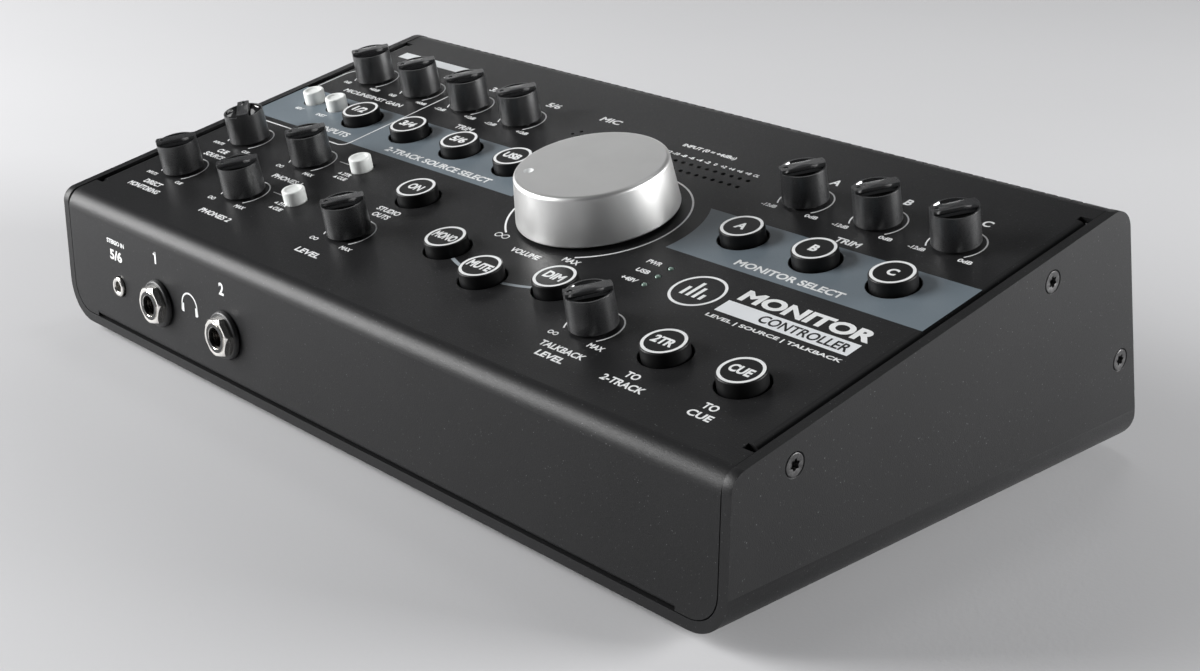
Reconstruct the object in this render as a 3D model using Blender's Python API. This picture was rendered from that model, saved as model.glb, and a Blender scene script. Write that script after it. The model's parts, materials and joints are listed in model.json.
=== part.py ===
"""Desktop monitor controller: folded steel case, sloping panel, knobs, buttons and sockets.

Metres, +Z up. The origin is on the floor under the middle of the footprint.
Front faces -Y. Panel places are (u, v): u from the left cheek, v up the slope.
"""
import math

import bmesh
import bpy
from mathutils import Matrix, Vector

MM = 0.001

# --- case -----------------------------------------------------------------
WIDTH = 300.0 * MM
DEPTH = 169.8 * MM
FRONT_HEIGHT = 42.6 * MM
BACK_HEIGHT = 75.3 * MM
BACK_TOP_Y = 151.9 * MM
TRAY_T = 3.0 * MM
TRAY_BEND_R = 12.2 * MM
CHEEK_FRONT_R = 5.0 * MM
CHEEK_BACK_R = 7.0 * MM
SHEET_T = 1.6 * MM
FRONT_BEND_R = 6.0 * MM
BACK_BEND_R = 6.5 * MM
GAP = 0.3 * MM
SHELL_DROP = 0.2 * MM
FOOT_H = 2.5 * MM
FOOT_R = 6.0 * MM
FOOT_INSET = 22.0 * MM

# --- side flanges of the shell ------------------------------------------------
FLANGE_R = 3.0 * MM
FLANGE_LAP = 1.5 * MM
FLANGE_DROP = 14.0 * MM
FLANGE_V = (13.0 * MM, 141.0 * MM)
NOTCH = 2.2 * MM
FRONT_FLANGE_X = (17.0 * MM, 283.5 * MM)
FRONT_FLANGE_DEPTH = 12.0 * MM
FRONT_FLANGE_R = 2.0 * MM

# --- vents over the rear bend -----------------------------------------------------
VENT_PITCH = 4.0 * MM
VENT_COUNT = 70
VENT_W = 1.5 * MM
VENT_ON_TOP = 4.2 * MM
VENT_ON_BACK = 14.0 * MM

# --- knobs ----------------------------------------------------------------------
KNOB_BASE_R = 6.72 * MM
KNOB_TOP_R = 6.5 * MM
KNOB_RIM_H = 10.2 * MM
KNOB_BAR_H = 11.2 * MM
KNOB_GAP = 0.6 * MM
KNOB_BAR_W = 3.8 * MM
KNOB_WALL = 0.7 * MM
KNOB_SCOOP = 1.2 * MM
STEM_R = 3.0 * MM
STEM_END_H = -5.0 * MM
KNOBS = {
    "gain_knob_1": (22.2, 114.3),
    "gain_knob_2": (48.3, 114.3),
    "trim_knob_line_3_4": (74.4, 114.3),
    "trim_knob_line_5_6": (100.6, 114.3),
    "trim_knob_a": (222.4, 114.3),
    "trim_knob_b": (248.4, 114.3),
    "trim_knob_c": (274.4, 114.3),
    "cue_source_knob": (25.0, 58.0),
    "phones_knob_1": (61.0, 58.0),
    "direct_mix_knob": (25.0, 31.5),
    "phones_knob_2": (61.0, 31.5),
    "studio_level_knob": (116.6, 31.5),
    "talkback_knob": (222.4, 31.5),
}
CUE_SOURCE_TURN = -36.0
KNOB_TURN = 56.0

BIG_PLACE = (174.7, 78.7)
BIG_BASE_R = 24.1 * MM
BIG_TOP_R = 22.5 * MM
BIG_TOP_H = 15.5 * MM
BIG_CHAMFER = 1.3 * MM
BIG_GAP = 0.8 * MM
BIG_DIMPLE_R = 1.5 * MM
BIG_DIMPLE_AT = 18.0 * MM

# --- buttons --------------------------------------------------------------------
BUTTON_R = 6.4 * MM
BUTTON_HOLE_R = 7.1 * MM
BUTTON_TOP_H = 3.5 * MM
BUTTON_SKIRT_H = -2.6 * MM
PLUNGER_END_H = -4.0 * MM
BUTTONS = {
    "source_button_1_2": (48.2, 88.3),
    "source_button_3_4": (74.4, 88.3),
    "source_button_5_6": (100.5, 88.3),
    "source_button_computer": (126.6, 88.3),
    "monitor_button_a": (222.3, 88.3),
    "monitor_button_b": (248.3, 88.3),
    "monitor_button_c": (274.3, 88.3),
    "studio_on_button": (116.6, 57.8),
    "mono_button": (151.6, 40.6),
    "mute_button": (174.9, 33.9),
    "dim_button": (198.1, 40.6),
    "talk_two_track_button": (248.4, 31.5),
    "talk_cue_button": (274.3, 31.5),
}
SMALL_R = 3.6 * MM
SMALL_HOLE_R = 3.95 * MM
SMALL_TOP_H = 4.0 * MM
SMALL_BUTTONS = {
    "phantom_button": (18.0, 90.5),
    "instrument_button": (31.0, 90.5),
    "phones_source_button_1": (81.8, 62.6),
    "phones_source_button_2": (82.0, 36.4),
}

# --- lamps --------------------------------------------------------------------------
STATUS_LAMPS = ((217.5, 64.8), (217.5, 59.8), (217.5, 54.7))
STATUS_R = 1.1 * MM
METER_LAST_U = 198.6
METER_PITCH = 3.28
METER_COUNT = 12
METER_ROWS_V = (116.2, 111.6)
METER_R = 0.75 * MM
MIC_HOLES = ((124.6, 114.8), (127.4, 114.8), (126.0, 117.4))
MIC_R = 0.6 * MM

# --- board under the panel ----------------------------------------------------------
BOARD_TOP_H = -8.5 * MM
BOARD_T = 1.6 * MM
BOARD_U = (8.0, 292.0)
BOARD_V = (18.0, 140.0)
POT_SIZE = 10.0 * MM
POT_TOP_H = -1.9 * MM
SWITCH_SIZE = 9.0 * MM
SWITCH_TOP_H = -6.3 * MM

# --- sockets ------------------------------------------------------------------------
SOCKET_Z = 18.5 * MM
PHONES_X = (57.6, 95.3)
BUSH_R = 4.5 * MM
BUSH_OUT = 4.2 * MM
PHONE_BORE_R = 3.3 * MM
LINE_BORE_R = 3.4 * MM
WASHER_R = 7.7 * MM
NUT_R = 6.35 * MM
AUX_PLACE = (33.2, 17.6)
AUX_R = 3.1 * MM
AUX_OUT = 1.1 * MM
AUX_BORE_R = 1.8 * MM

# --- back wall (x across, s up the wall) ---------------------------------------------
COMBO_PLACES = ((34.0, 36.0), (70.0, 36.0))
COMBO_R = 11.6 * MM
COMBO_BORE_R = 9.5 * MM
LINE_X = (104.0, 122.0, 140.0, 158.0, 176.0, 194.0)
LINE_ROWS_S = {"line_socket_row_upper": 48.0, "line_socket_row_lower": 22.0}
USB_PLACE = (220.0, 34.0)
INLET_PLACE = (246.0, 34.0)
ROCKER_PLACE = (272.0, 34.0)
ROCKER_TILT = 9.0

# --- screws --------------------------------------------------------------------------
SCREW_HEAD_R = 3.1 * MM
SCREW_R = 1.4 * MM
SCREW_LEN = 7.0 * MM
SCREWS_YZ = ((20.9, 39.6), (118.8, 60.9), (155.9, 29.8))

FRONT_Y = -(DEPTH - BUSH_OUT) / 2.0
SLOPE = math.atan2(BACK_HEIGHT - FRONT_HEIGHT, BACK_TOP_Y)
LEAN = math.atan2(DEPTH - BACK_TOP_Y, BACK_HEIGHT)

PAINT = ("case_paint", (0.030, 0.031, 0.033), 0.35, 0.45)
SOFT = ("knob_plastic", (0.045, 0.047, 0.050), 0.0, 0.42)
GLOSS = ("button_plastic", (0.012, 0.012, 0.013), 0.0, 0.25)
LIGHT = ("light_plastic", (0.72, 0.74, 0.75), 0.0, 0.40)
SILVER = ("satin_aluminium", (0.80, 0.80, 0.79), 1.0, 0.30)
NICKEL = ("nickel", (0.74, 0.72, 0.68), 1.0, 0.20)
BOARD = ("board_laminate", (0.02, 0.10, 0.05), 0.0, 0.55)
SOCKET = ("socket_plastic", (0.020, 0.020, 0.021), 0.0, 0.50)
RUBBER = ("foot_rubber", (0.018, 0.018, 0.018), 0.0, 0.85)
BLACKENED = ("screw_steel", (0.055, 0.055, 0.058), 1.0, 0.40)
LENS = ("lamp_lens", (0.35, 0.50, 0.42), 0.0, 0.30)


# --- frames ---------------------------------------------------------------------------
def frame_matrix(x_axis, y_axis, z_axis, origin):
    """Matrix whose columns are the three axes and the origin."""
    columns = Matrix((x_axis, y_axis, z_axis)).transposed().to_4x4()
    return Matrix.Translation(origin) @ columns


def case_point(x, y, z):
    """World place of a point given from the left cheek, the front plane and the tray."""
    return Vector((x - WIDTH / 2.0, FRONT_Y + y, FOOT_H + z))


def on_panel(u, v, turn=0.0):
    """Frame on the sloping panel, its z along the panel's normal."""
    along = Vector((0.0, math.cos(SLOPE), math.sin(SLOPE)))
    normal = Vector((0.0, -math.sin(SLOPE), math.cos(SLOPE)))
    origin = case_point(u * MM, 0.0, FRONT_HEIGHT) + along * (v * MM)
    frame = frame_matrix((1.0, 0.0, 0.0), along, normal, origin)
    return frame @ Matrix.Rotation(math.radians(turn), 4, "Z")


def on_front(x, z):
    """Frame on the front wall, its z pointing out towards the user."""
    return frame_matrix((1, 0, 0), (0, 0, 1), (0, -1, 0), case_point(x * MM, 0.0, z))


def on_back(x, s):
    """Frame on the leaning back wall, its z pointing out of the case."""
    up = Vector((0.0, -math.sin(LEAN), math.cos(LEAN)))
    out = Vector((0.0, math.cos(LEAN), math.sin(LEAN)))
    origin = case_point(x * MM, DEPTH, 0.0) + up * (s * MM)
    return frame_matrix((-1, 0, 0), up, out, origin)


def on_side(side, y, z):
    """Frame on a cheek's outer face, its z pointing out; side is -1 or +1."""
    place = case_point(WIDTH if side > 0 else 0.0, y * MM, z * MM)
    return frame_matrix((0, side, 0), (0, 0, 1), (side, 0, 0), place)


# --- mesh helpers ------------------------------------------------------------------------
class Solid:
    """Vertices and faces of one or more closed bodies, gathered before meshing."""

    def __init__(self):
        self.verts = []
        self.faces = []

    def add(self, verts, faces, frame=None):
        base = len(self.verts)
        frame = frame or Matrix.Identity(4)
        self.verts += [frame @ Vector(v) for v in verts]
        self.faces += [[base + i for i in face] for face in faces]
        return self

    def box(self, low, high, frame=None):
        xs, ys, zs = zip(low, high)
        verts = [(x, y, z) for z in zs for y in ys for x in xs]
        faces = [(0, 2, 3, 1), (4, 5, 7, 6), (0, 1, 5, 4), (2, 6, 7, 3), (0, 4, 6, 2), (1, 3, 7, 5)]
        return self.add(verts, faces, frame)

    def prism(self, outline, low, high, frame=None):
        """Outline of (a, b) pairs, counter-clockwise, run along z from low to high."""
        count = len(outline)
        verts = [(a, b, low) for a, b in outline] + [(a, b, high) for a, b in outline]
        faces = [list(range(count))[::-1], list(range(count, 2 * count))]
        for i in range(count):
            j = (i + 1) % count
            faces.append((i, j, count + j, count + i))
        return self.add(verts, faces, frame)

    def lathe(self, profile, segments, frame=None):
        """Profile of (r, h) pairs from the bottom centre round the outside to the top centre."""
        verts, faces, rings = [], [], []
        for r, h in profile:
            if r == 0.0:
                rings.append([len(verts)] * segments)
                verts.append((0.0, 0.0, h))
                continue
            rings.append(list(range(len(verts), len(verts) + segments)))
            for k in range(segments):
                angle = 2.0 * math.pi * k / segments
                verts.append((r * math.cos(angle), r * math.sin(angle), h))
        for low, high in zip(rings, rings[1:]):
            for k in range(segments):
                n = (k + 1) % segments
                face = [low[k], low[n], high[n], high[k]]
                faces.append(list(dict.fromkeys(face)))
        return self.add(verts, faces, frame)

    def cylinder(self, radius, low, high, segments, frame=None):
        return self.prism(circle(radius, segments), low, high, frame)


def circle(radius, segments, start=0.0):
    angles = [start + 2.0 * math.pi * k / segments for k in range(segments)]
    return [(radius * math.cos(a), radius * math.sin(a)) for a in angles]


def rectangle(width, height):
    w, h = width / 2.0, height / 2.0
    return [(-w, -h), (w, -h), (w, h), (-w, h)]


def rounded(points, radii, steps):
    """Polyline corners replaced with arcs; radii of zero keep a corner sharp."""
    result = []
    count = len(points)
    counts = steps if isinstance(steps, list) else [steps] * count
    for i, (corner, radius, arc_steps) in enumerate(zip(points, radii, counts)):
        if radius == 0.0:
            result.append(tuple(corner))
            continue
        here = Vector(corner)
        before = (Vector(points[i - 1]) - here).normalized()
        after = (Vector(points[(i + 1) % count]) - here).normalized()
        half = before.angle(after) / 2.0
        middle = here + (before + after).normalized() * (radius / math.sin(half))
        first = here + before * (radius / math.tan(half)) - middle
        sweep = math.pi - 2.0 * half
        if before.x * after.y - before.y * after.x > 0.0:
            sweep = -sweep
        for k in range(arc_steps + 1):
            angle = sweep * k / arc_steps
            c, s = math.cos(angle), math.sin(angle)
            spoke = Vector((first.x * c - first.y * s, first.x * s + first.y * c))
            result.append(tuple(middle + spoke))
    return result


def material(spec):
    name, color, metallic, roughness = spec
    found = bpy.data.materials.get(name)
    if found:
        return found
    made = bpy.data.materials.new(name)
    made.use_nodes = True
    shader = made.node_tree.nodes["Principled BSDF"]
    shader.inputs["Base Color"].default_value = (*color, 1.0)
    shader.inputs["Metallic"].default_value = metallic
    shader.inputs["Roughness"].default_value = roughness
    made.diffuse_color = (*color, 1.0)
    return made


def make(name, solid, spec, frame=None):
    """Object from a solid; a frame given here becomes the object's own origin and axes."""
    mesh = bpy.data.meshes.new(name)
    mesh.from_pydata([tuple(v) for v in solid.verts], [], solid.faces)
    bm = bmesh.new()
    bm.from_mesh(mesh)
    bmesh.ops.recalc_face_normals(bm, faces=bm.faces)
    bm.to_mesh(mesh)
    bm.free()
    obj = bpy.data.objects.new(name, mesh)
    bpy.context.scene.collection.objects.link(obj)
    if frame is not None:
        obj.matrix_world = frame
    if spec is not None:
        mesh.materials.append(material(spec))
    return obj


def combine(obj, steps):
    """Apply (operation, solid) pairs to the object as exact Booleans, then drop the tools."""
    tools = []
    for number, (operation, solid) in enumerate(steps):
        tool = make(f"tool_{number}", solid, None)
        tool.matrix_world = obj.matrix_world.copy()
        tools.append(tool)
        modifier = obj.modifiers.new(operation.lower(), "BOOLEAN")
        modifier.operation = operation
        modifier.solver = "EXACT"
        modifier.object = tool
    bpy.context.view_layer.update()
    graph = bpy.context.evaluated_depsgraph_get()
    result = bpy.data.meshes.new_from_object(obj.evaluated_get(graph))
    obj.modifiers.clear()
    obj.data = result
    result.name = obj.name
    for tool in tools:
        bpy.data.objects.remove(tool, do_unlink=True)
    return obj


def tidy(obj, angle=32.0):
    """Weld, triangulate flat faces cleanly and shade smooth with sharp edges kept."""
    bm = bmesh.new()
    bm.from_mesh(obj.data)
    bmesh.ops.remove_doubles(bm, verts=bm.verts, dist=2e-6)
    bmesh.ops.dissolve_degenerate(bm, dist=1e-6, edges=bm.edges)
    bm.to_mesh(obj.data)
    bm.free()
    obj.data.shade_smooth()
    obj.data.set_sharp_from_angle(angle=math.radians(angle))
    return obj


# --- case -------------------------------------------------------------------------------------
YZ_FRAME = frame_matrix((0, 1, 0), (0, 0, 1), (1, 0, 0), Vector((0, 0, 0)))


def side_outline(grow=0.0):
    """Wedge seen from the side, as (y, z) from the front plane and the tray."""
    corners = [
        (-grow, -grow),
        (DEPTH + grow, -grow),
        (BACK_TOP_Y + grow, BACK_HEIGHT + grow),
        (-grow, FRONT_HEIGHT + grow),
    ]
    return rounded(corners, [0.0, 0.0, CHEEK_BACK_R, CHEEK_FRONT_R], 5)


def world_from_side(outline):
    """Outline given as (y, z) turned into (x of YZ_FRAME) pairs in world places."""
    return [(FRONT_Y + y, FOOT_H + z) for y, z in outline]


def tray_section():
    """U section seen from the front, as (x, z) in world places."""
    half, floor, top = WIDTH / 2.0, FOOT_H, FOOT_H + BACK_HEIGHT + 0.01
    inner = half - TRAY_T
    outside = [(-half, top), (-half, floor), (half, floor), (half, top)]
    inside = [(inner, top), (inner, floor + TRAY_T), (-inner, floor + TRAY_T), (-inner, top)]
    radii_out = [0.0, TRAY_BEND_R, TRAY_BEND_R, 0.0]
    radii_in = [0.0, TRAY_BEND_R - TRAY_T, TRAY_BEND_R - TRAY_T, 0.0]
    return rounded(outside + inside, radii_out + radii_in, 6)


def screw_frames():
    return [on_side(side, y, z) for side in (-1, 1) for y, z in SCREWS_YZ]


def build_tray():
    section_frame = frame_matrix((1, 0, 0), (0, 0, 1), (0, -1, 0), Vector((0, 0, 0)))
    tray = make("base_tray", Solid().prism(tray_section(), -0.2, 0.2, section_frame), PAINT)
    wedge = Solid().prism(world_from_side(side_outline()), -0.2, 0.2, YZ_FRAME)
    holes = Solid()
    sink = SCREW_HEAD_R + GAP
    through = SCREW_R + GAP
    profile = [
        (0.0, -TRAY_T - MM),
        (through, -TRAY_T - MM),
        (through, -(sink - through)),
        (sink, 0.0),
        (sink, MM),
        (0.0, MM),
    ]
    for frame in screw_frames():
        holes.lathe(profile, 12, frame)
    foot_hole = [(0.0, -MM), (2.0 * MM, -MM), (2.0 * MM, 4.0 * MM), (0.0, 4.0 * MM)]
    for frame in foot_frames():
        holes.lathe(foot_hole, 8, frame @ Matrix.Translation((0, 0, FOOT_H)))
    return tidy(combine(tray, [("INTERSECT", wedge), ("DIFFERENCE", holes)]))


def shell_fold():
    """Closed (y, z) outline of the folded sheet: front wall, top and back wall."""
    low = TRAY_T + GAP
    inset = GAP
    lean = Vector((-math.sin(LEAN), math.cos(LEAN)))
    out = Vector((math.cos(LEAN), math.sin(LEAN)))
    normal = Vector((-math.sin(SLOPE), math.cos(SLOPE)))
    along = Vector((math.cos(SLOPE), math.sin(SLOPE)))

    def path(depth):
        """Outer fold line moved inwards by depth."""
        front_y = depth
        top0 = Vector((0.0, FRONT_HEIGHT)) - normal * (SHELL_DROP + depth)
        back0 = Vector((DEPTH, 0.0)) - out * (inset + depth)
        t_front = (front_y - top0.x) / along.x
        corner_front = top0 + along * t_front
        across = along.x * lean.y - along.y * lean.x
        gap = back0 - top0
        corner_back = top0 + along * ((gap.x * lean.y - gap.y * lean.x) / across)
        foot = back0 + lean * ((low - back0.y) / lean.y)
        return [(front_y, low), tuple(corner_front), tuple(corner_back), tuple(foot)]

    outer, inner = path(0.0), path(SHEET_T)
    radii_outer = [0.0, FRONT_BEND_R, BACK_BEND_R, 0.0]
    radii_inner = [0.0, FRONT_BEND_R - SHEET_T, BACK_BEND_R - SHEET_T, 0.0]
    return rounded(outer + inner[::-1], radii_outer + radii_inner[::-1], [0, 4, 3, 0, 0, 3, 4, 0])


def shell_side_x():
    """Distance of the shell's edge from the middle."""
    return WIDTH / 2.0 - TRAY_T - GAP


def flange_section(side):
    """Bend and flange at one edge of the top, as (x, h) in the panel's frame at u = middle."""
    edge = shell_side_x()
    top = -SHELL_DROP
    points = [
        (edge - FLANGE_R - FLANGE_LAP, top),
        (edge, top),
        (edge, -FLANGE_DROP),
        (edge - SHEET_T, -FLANGE_DROP),
        (edge - SHEET_T, top - SHEET_T),
        (edge - FLANGE_R - FLANGE_LAP, top - SHEET_T),
    ]
    radii = [0.0, FLANGE_R, 0.0, 0.0, FLANGE_R - SHEET_T, 0.0]
    return [(side * x, h) for x, h in rounded(points, radii, 3)]


def side_flanges():
    """Bent-down edges of the top and inward edges of the back wall and front wall."""
    solid = Solid()
    middle = on_panel(WIDTH / 2.0 / MM, 0.0)
    run = frame_matrix((1, 0, 0), (0, 0, 1), (0, -1, 0), Vector((0, 0, 0)))
    for side in (-1, 1):
        solid.prism(flange_section(side), -FLANGE_V[1], -FLANGE_V[0], middle @ run)
        edge = shell_side_x()
        low_x, high_x = sorted((side * edge, side * (edge - SHEET_T)))
        wall = on_back(WIDTH / 2.0 / MM, 0.0)
        solid.box((low_x, 16 * MM, -12 * MM), (high_x, 58 * MM, -GAP - SHEET_T / 2.0), wall)
    return solid


def front_flange():
    """Lower lip of the front wall, turned inwards just above the tray."""
    low = TRAY_T + GAP
    points = [
        (0.0, low + FRONT_FLANGE_R + 2 * MM),
        (0.0, low),
        (FRONT_FLANGE_DEPTH, low),
        (FRONT_FLANGE_DEPTH, low + SHEET_T),
        (SHEET_T, low + SHEET_T),
        (SHEET_T, low + FRONT_FLANGE_R + 2 * MM),
    ]
    radii = [0.0, FRONT_FLANGE_R, 0.0, 0.0, FRONT_FLANGE_R - SHEET_T, 0.0]
    outline = world_from_side(rounded(points, radii, 3))
    x0, x1 = (x - WIDTH / 2.0 for x in FRONT_FLANGE_X)
    return Solid().prism(outline, x0, x1, YZ_FRAME)


def shell_trims():
    """Cutters for side strips, lower corners and the front lip's place."""
    solid = Solid()
    edge = shell_side_x()
    top = on_panel(WIDTH / 2.0 / MM, 0.0)
    v0, v1 = FLANGE_V[0] - NOTCH, FLANGE_V[1] + NOTCH
    radius = TRAY_BEND_R - TRAY_T - GAP
    low = TRAY_T + GAP
    for side in (-1, 1):
        low_x, high_x = sorted((side * (edge - FLANGE_R - FLANGE_LAP / 2.0), side * (edge + MM)))
        solid.box((low_x, v0, -4 * MM), (high_x, v1, 2 * MM), top)
        corner = [
            (edge + MM, low - MM),
            (edge + MM, low + radius),
            (edge, low + radius),
        ]
        for k in range(1, 6):
            angle = math.radians(90.0 * k / 6)
            corner.append((edge - radius + radius * math.cos(angle), low + radius - radius * math.sin(angle)))
        corner += [(edge - radius, low), (edge - radius, low - MM)]
        outline = [(side * x, FOOT_H + z) for x, z in corner]
        run = frame_matrix((1, 0, 0), (0, 0, 1), (0, -1, 0), Vector((0, 0, 0)))
        solid.prism(outline, -0.2, 0.2, run)
    x0, x1 = (x - WIDTH / 2.0 for x in FRONT_FLANGE_X)
    lip = case_point(0.0, 0.0, 0.0)
    solid.box((x0, lip.y - MM, lip.z), (x1, lip.y + 3 * MM, lip.z + low + FRONT_FLANGE_R), None)
    return solid


def vent_cuts():
    """Slots that wrap the rear bend, in one row across the case."""
    solid = Solid()
    slope_end = math.hypot(BACK_TOP_Y, BACK_HEIGHT - FRONT_HEIGHT)
    wall_end = math.hypot(DEPTH - BACK_TOP_Y, BACK_HEIGHT)
    panel, wall = on_panel(0.0, 0.0), on_back(0.0, 0.0)
    clear = 3.0 * MM
    marks = [
        panel @ Vector((0, slope_end - VENT_ON_TOP, clear)),
        panel @ Vector((0, slope_end - VENT_ON_TOP, -clear)),
        panel @ Vector((0, slope_end - BACK_BEND_R, -clear)),
        wall @ Vector((0, wall_end - BACK_BEND_R, -clear)),
        wall @ Vector((0, wall_end - VENT_ON_BACK, -clear)),
        wall @ Vector((0, wall_end - VENT_ON_BACK, clear)),
        wall @ Vector((0, wall_end, clear)) + Vector((0, 0, clear)),
    ]
    outline = [(p.y, p.z) for p in marks]
    first = -VENT_PITCH * (VENT_COUNT - 1) / 2.0
    for k in range(VENT_COUNT):
        x = first + VENT_PITCH * k
        solid.prism(outline, x - VENT_W / 2.0, x + VENT_W / 2.0, YZ_FRAME)
    return solid


def meter_places():
    return [
        (METER_LAST_U - METER_PITCH * k, v) for v in METER_ROWS_V for k in range(METER_COUNT)
    ]


def panel_cuts():
    """Every round hole of the sloping panel."""
    solid = Solid()
    low, high = -4.0 * MM, 2.0 * MM

    def drill(places, radius, segments):
        for u, v in places:
            solid.cylinder(radius, low, high, segments, on_panel(u, v))

    drill(KNOBS.values(), STEM_R + 0.6 * MM, 8)
    drill([BIG_PLACE], 5.2 * MM, 16)
    drill(BUTTONS.values(), BUTTON_HOLE_R, 20)
    drill(SMALL_BUTTONS.values(), SMALL_HOLE_R, 14)
    drill(STATUS_LAMPS, STATUS_R, 10)
    drill(meter_places(), METER_R, 6)
    drill(MIC_HOLES, MIC_R, 6)
    return solid


def wall_cuts():
    """Socket and switch holes of the front and back walls, and the screw holes."""
    solid = Solid()
    low, high = -4.0 * MM, 2.0 * MM
    for x in PHONES_X:
        solid.cylinder(BUSH_R + GAP, low, high, 20, on_front(x, SOCKET_Z))
    solid.cylinder(AUX_R + GAP, low, high, 16, on_front(AUX_PLACE[0], AUX_PLACE[1] * MM))
    for x, s in COMBO_PLACES:
        solid.cylinder(COMBO_R + GAP, low, high, 24, on_back(x, s))
    for s in LINE_ROWS_S.values():
        for x in LINE_X:
            solid.cylinder(BUSH_R + 2 * GAP, low, high, 12, on_back(x, s))
    for (x, s), size in (
        (USB_PLACE, (12.6, 11.6)),
        (INLET_PLACE, (9.6, 11.6)),
        (ROCKER_PLACE, (13.6, 19.6)),
    ):
        solid.prism(rectangle(size[0] * MM, size[1] * MM), low, high, on_back(x, s))
    for frame in screw_frames():
        solid.cylinder(SCREW_R + GAP, -7 * MM, -3.1 * MM, 8, frame)
    return solid


def build_shell():
    half = shell_side_x()
    fold = world_from_side(shell_fold())
    shell = make("top_shell", Solid().prism(fold, -half, half, YZ_FRAME), PAINT)
    steps = [
        ("DIFFERENCE", shell_trims()),
        ("UNION", side_flanges()),
        ("UNION", front_flange()),
        ("DIFFERENCE", vent_cuts()),
        ("DIFFERENCE", panel_cuts()),
        ("DIFFERENCE", wall_cuts()),
    ]
    return tidy(combine(shell, steps))


def foot_frames():
    """Frames on the floor under each foot, z up."""
    places = []
    for x in (FOOT_INSET, WIDTH - FOOT_INSET):
        for y in (FOOT_INSET, DEPTH - FOOT_INSET):
            places.append(Matrix.Translation(case_point(x, y, -FOOT_H)))
    return places


def build_feet():
    names = ("foot_front_left", "foot_back_left", "foot_front_right", "foot_back_right")
    top = FOOT_H - 0.1 * MM
    profile = [
        (0.0, 0.0),
        (FOOT_R - 0.6 * MM, 0.0),
        (FOOT_R, 0.6 * MM),
        (FOOT_R, top),
        (1.7 * MM, top),
        (1.7 * MM, top + 2.2 * MM),
        (0.0, top + 2.2 * MM),
    ]
    for name, frame in zip(names, foot_frames()):
        tidy(make(name, Solid().lathe(profile, 14), RUBBER, frame))


def build_screws():
    names = [f"screw_{side}_{where}" for side in ("left", "right") for where in ("front", "top", "rear")]
    head = SCREW_HEAD_R - SCREW_R
    profile = [
        (0.0, -SCREW_LEN),
        (SCREW_R, -SCREW_LEN),
        (SCREW_R, -head),
        (SCREW_HEAD_R, 0.0),
        (1.3 * MM, 0.0),
        (0.9 * MM, -1.3 * MM),
        (0.0, -1.3 * MM),
    ]
    for name, frame in zip(names, screw_frames()):
        tidy(make(name, Solid().lathe(profile, 10), BLACKENED, frame))


# --- controls -------------------------------------------------------------------------------------
def bar_sides(radius, half_bar, depth):
    """Two D-shaped cutters that leave the knob's finger bar between them."""
    solid = Solid()
    limit = math.asin(half_bar / radius)
    for side in (-1, 1):
        arc = [limit + (math.pi - 2.0 * limit) * k / 8 for k in range(9)]
        outline = [(radius * math.cos(a), side * radius * math.sin(a)) for a in arc]
        solid.prism(outline, KNOB_RIM_H - depth, KNOB_BAR_H + MM)
    return solid


def build_knob(name, place):
    profile = [
        (0.0, STEM_END_H),
        (STEM_R, STEM_END_H),
        (STEM_R, KNOB_GAP),
        (KNOB_BASE_R, KNOB_GAP),
        (KNOB_TOP_R, KNOB_BAR_H),
        (0.0, KNOB_BAR_H),
    ]
    turn = CUE_SOURCE_TURN if name == "cue_source_knob" else KNOB_TURN
    knob = make(name, Solid().lathe(profile, 20), SOFT, on_panel(*place, turn))
    half_bar = KNOB_BAR_W / 2.0
    shoulders = bar_sides(KNOB_TOP_R + MM, half_bar, 0.0)
    scoops = bar_sides(KNOB_TOP_R - KNOB_WALL, half_bar + 0.1 * MM, KNOB_SCOOP)
    return tidy(combine(knob, [("DIFFERENCE", shoulders), ("DIFFERENCE", scoops)]))


def build_big_knob():
    well = 6.5 * MM
    profile = [
        (0.0, STEM_END_H),
        (STEM_R, STEM_END_H),
        (STEM_R, 4.0 * MM),
        (well, 4.0 * MM),
        (well, BIG_GAP),
        (BIG_BASE_R - 0.5 * MM, BIG_GAP),
        (BIG_BASE_R, BIG_GAP + 0.5 * MM),
        (BIG_TOP_R, BIG_TOP_H - BIG_CHAMFER),
        (BIG_TOP_R - BIG_CHAMFER, BIG_TOP_H),
        (0.0, BIG_TOP_H),
    ]
    knob = make("volume_knob", Solid().lathe(profile, 48), SILVER, on_panel(*BIG_PLACE))
    angle = math.radians(223.0)
    at = Matrix.Translation((BIG_DIMPLE_AT * math.cos(angle), BIG_DIMPLE_AT * math.sin(angle), BIG_TOP_H))
    cup = [(0.0, -1.0 * MM), (BIG_DIMPLE_R, 0.0), (BIG_DIMPLE_R, MM), (0.0, MM)]
    return tidy(combine(knob, [("DIFFERENCE", Solid().lathe(cup, 8, at))]))


def build_volume_pot():
    """Rotary body under the panel, with the bush the volume knob's shaft turns in."""
    base = BOARD_TOP_H + GAP
    profile = [
        (0.0, base),
        (8.0 * MM, base),
        (8.0 * MM, POT_TOP_H),
        (4.7 * MM, POT_TOP_H),
        (4.7 * MM, 2.5 * MM),
        (STEM_R + GAP, 2.5 * MM),
        (STEM_R + GAP, STEM_END_H - GAP),
        (0.0, STEM_END_H - GAP),
    ]
    tidy(make("volume_pot", Solid().lathe(profile, 24), NICKEL, on_panel(*BIG_PLACE)))


def button_profile(radius, top, edge):
    """Cap with an eased edge and the plunger that reaches the switch."""
    return [
        (0.0, PLUNGER_END_H),
        (2.0 * MM, PLUNGER_END_H),
        (2.0 * MM, BUTTON_SKIRT_H),
        (radius, BUTTON_SKIRT_H),
        (radius, top - edge),
        (radius - edge, top),
        (0.0, top),
    ]


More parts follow.
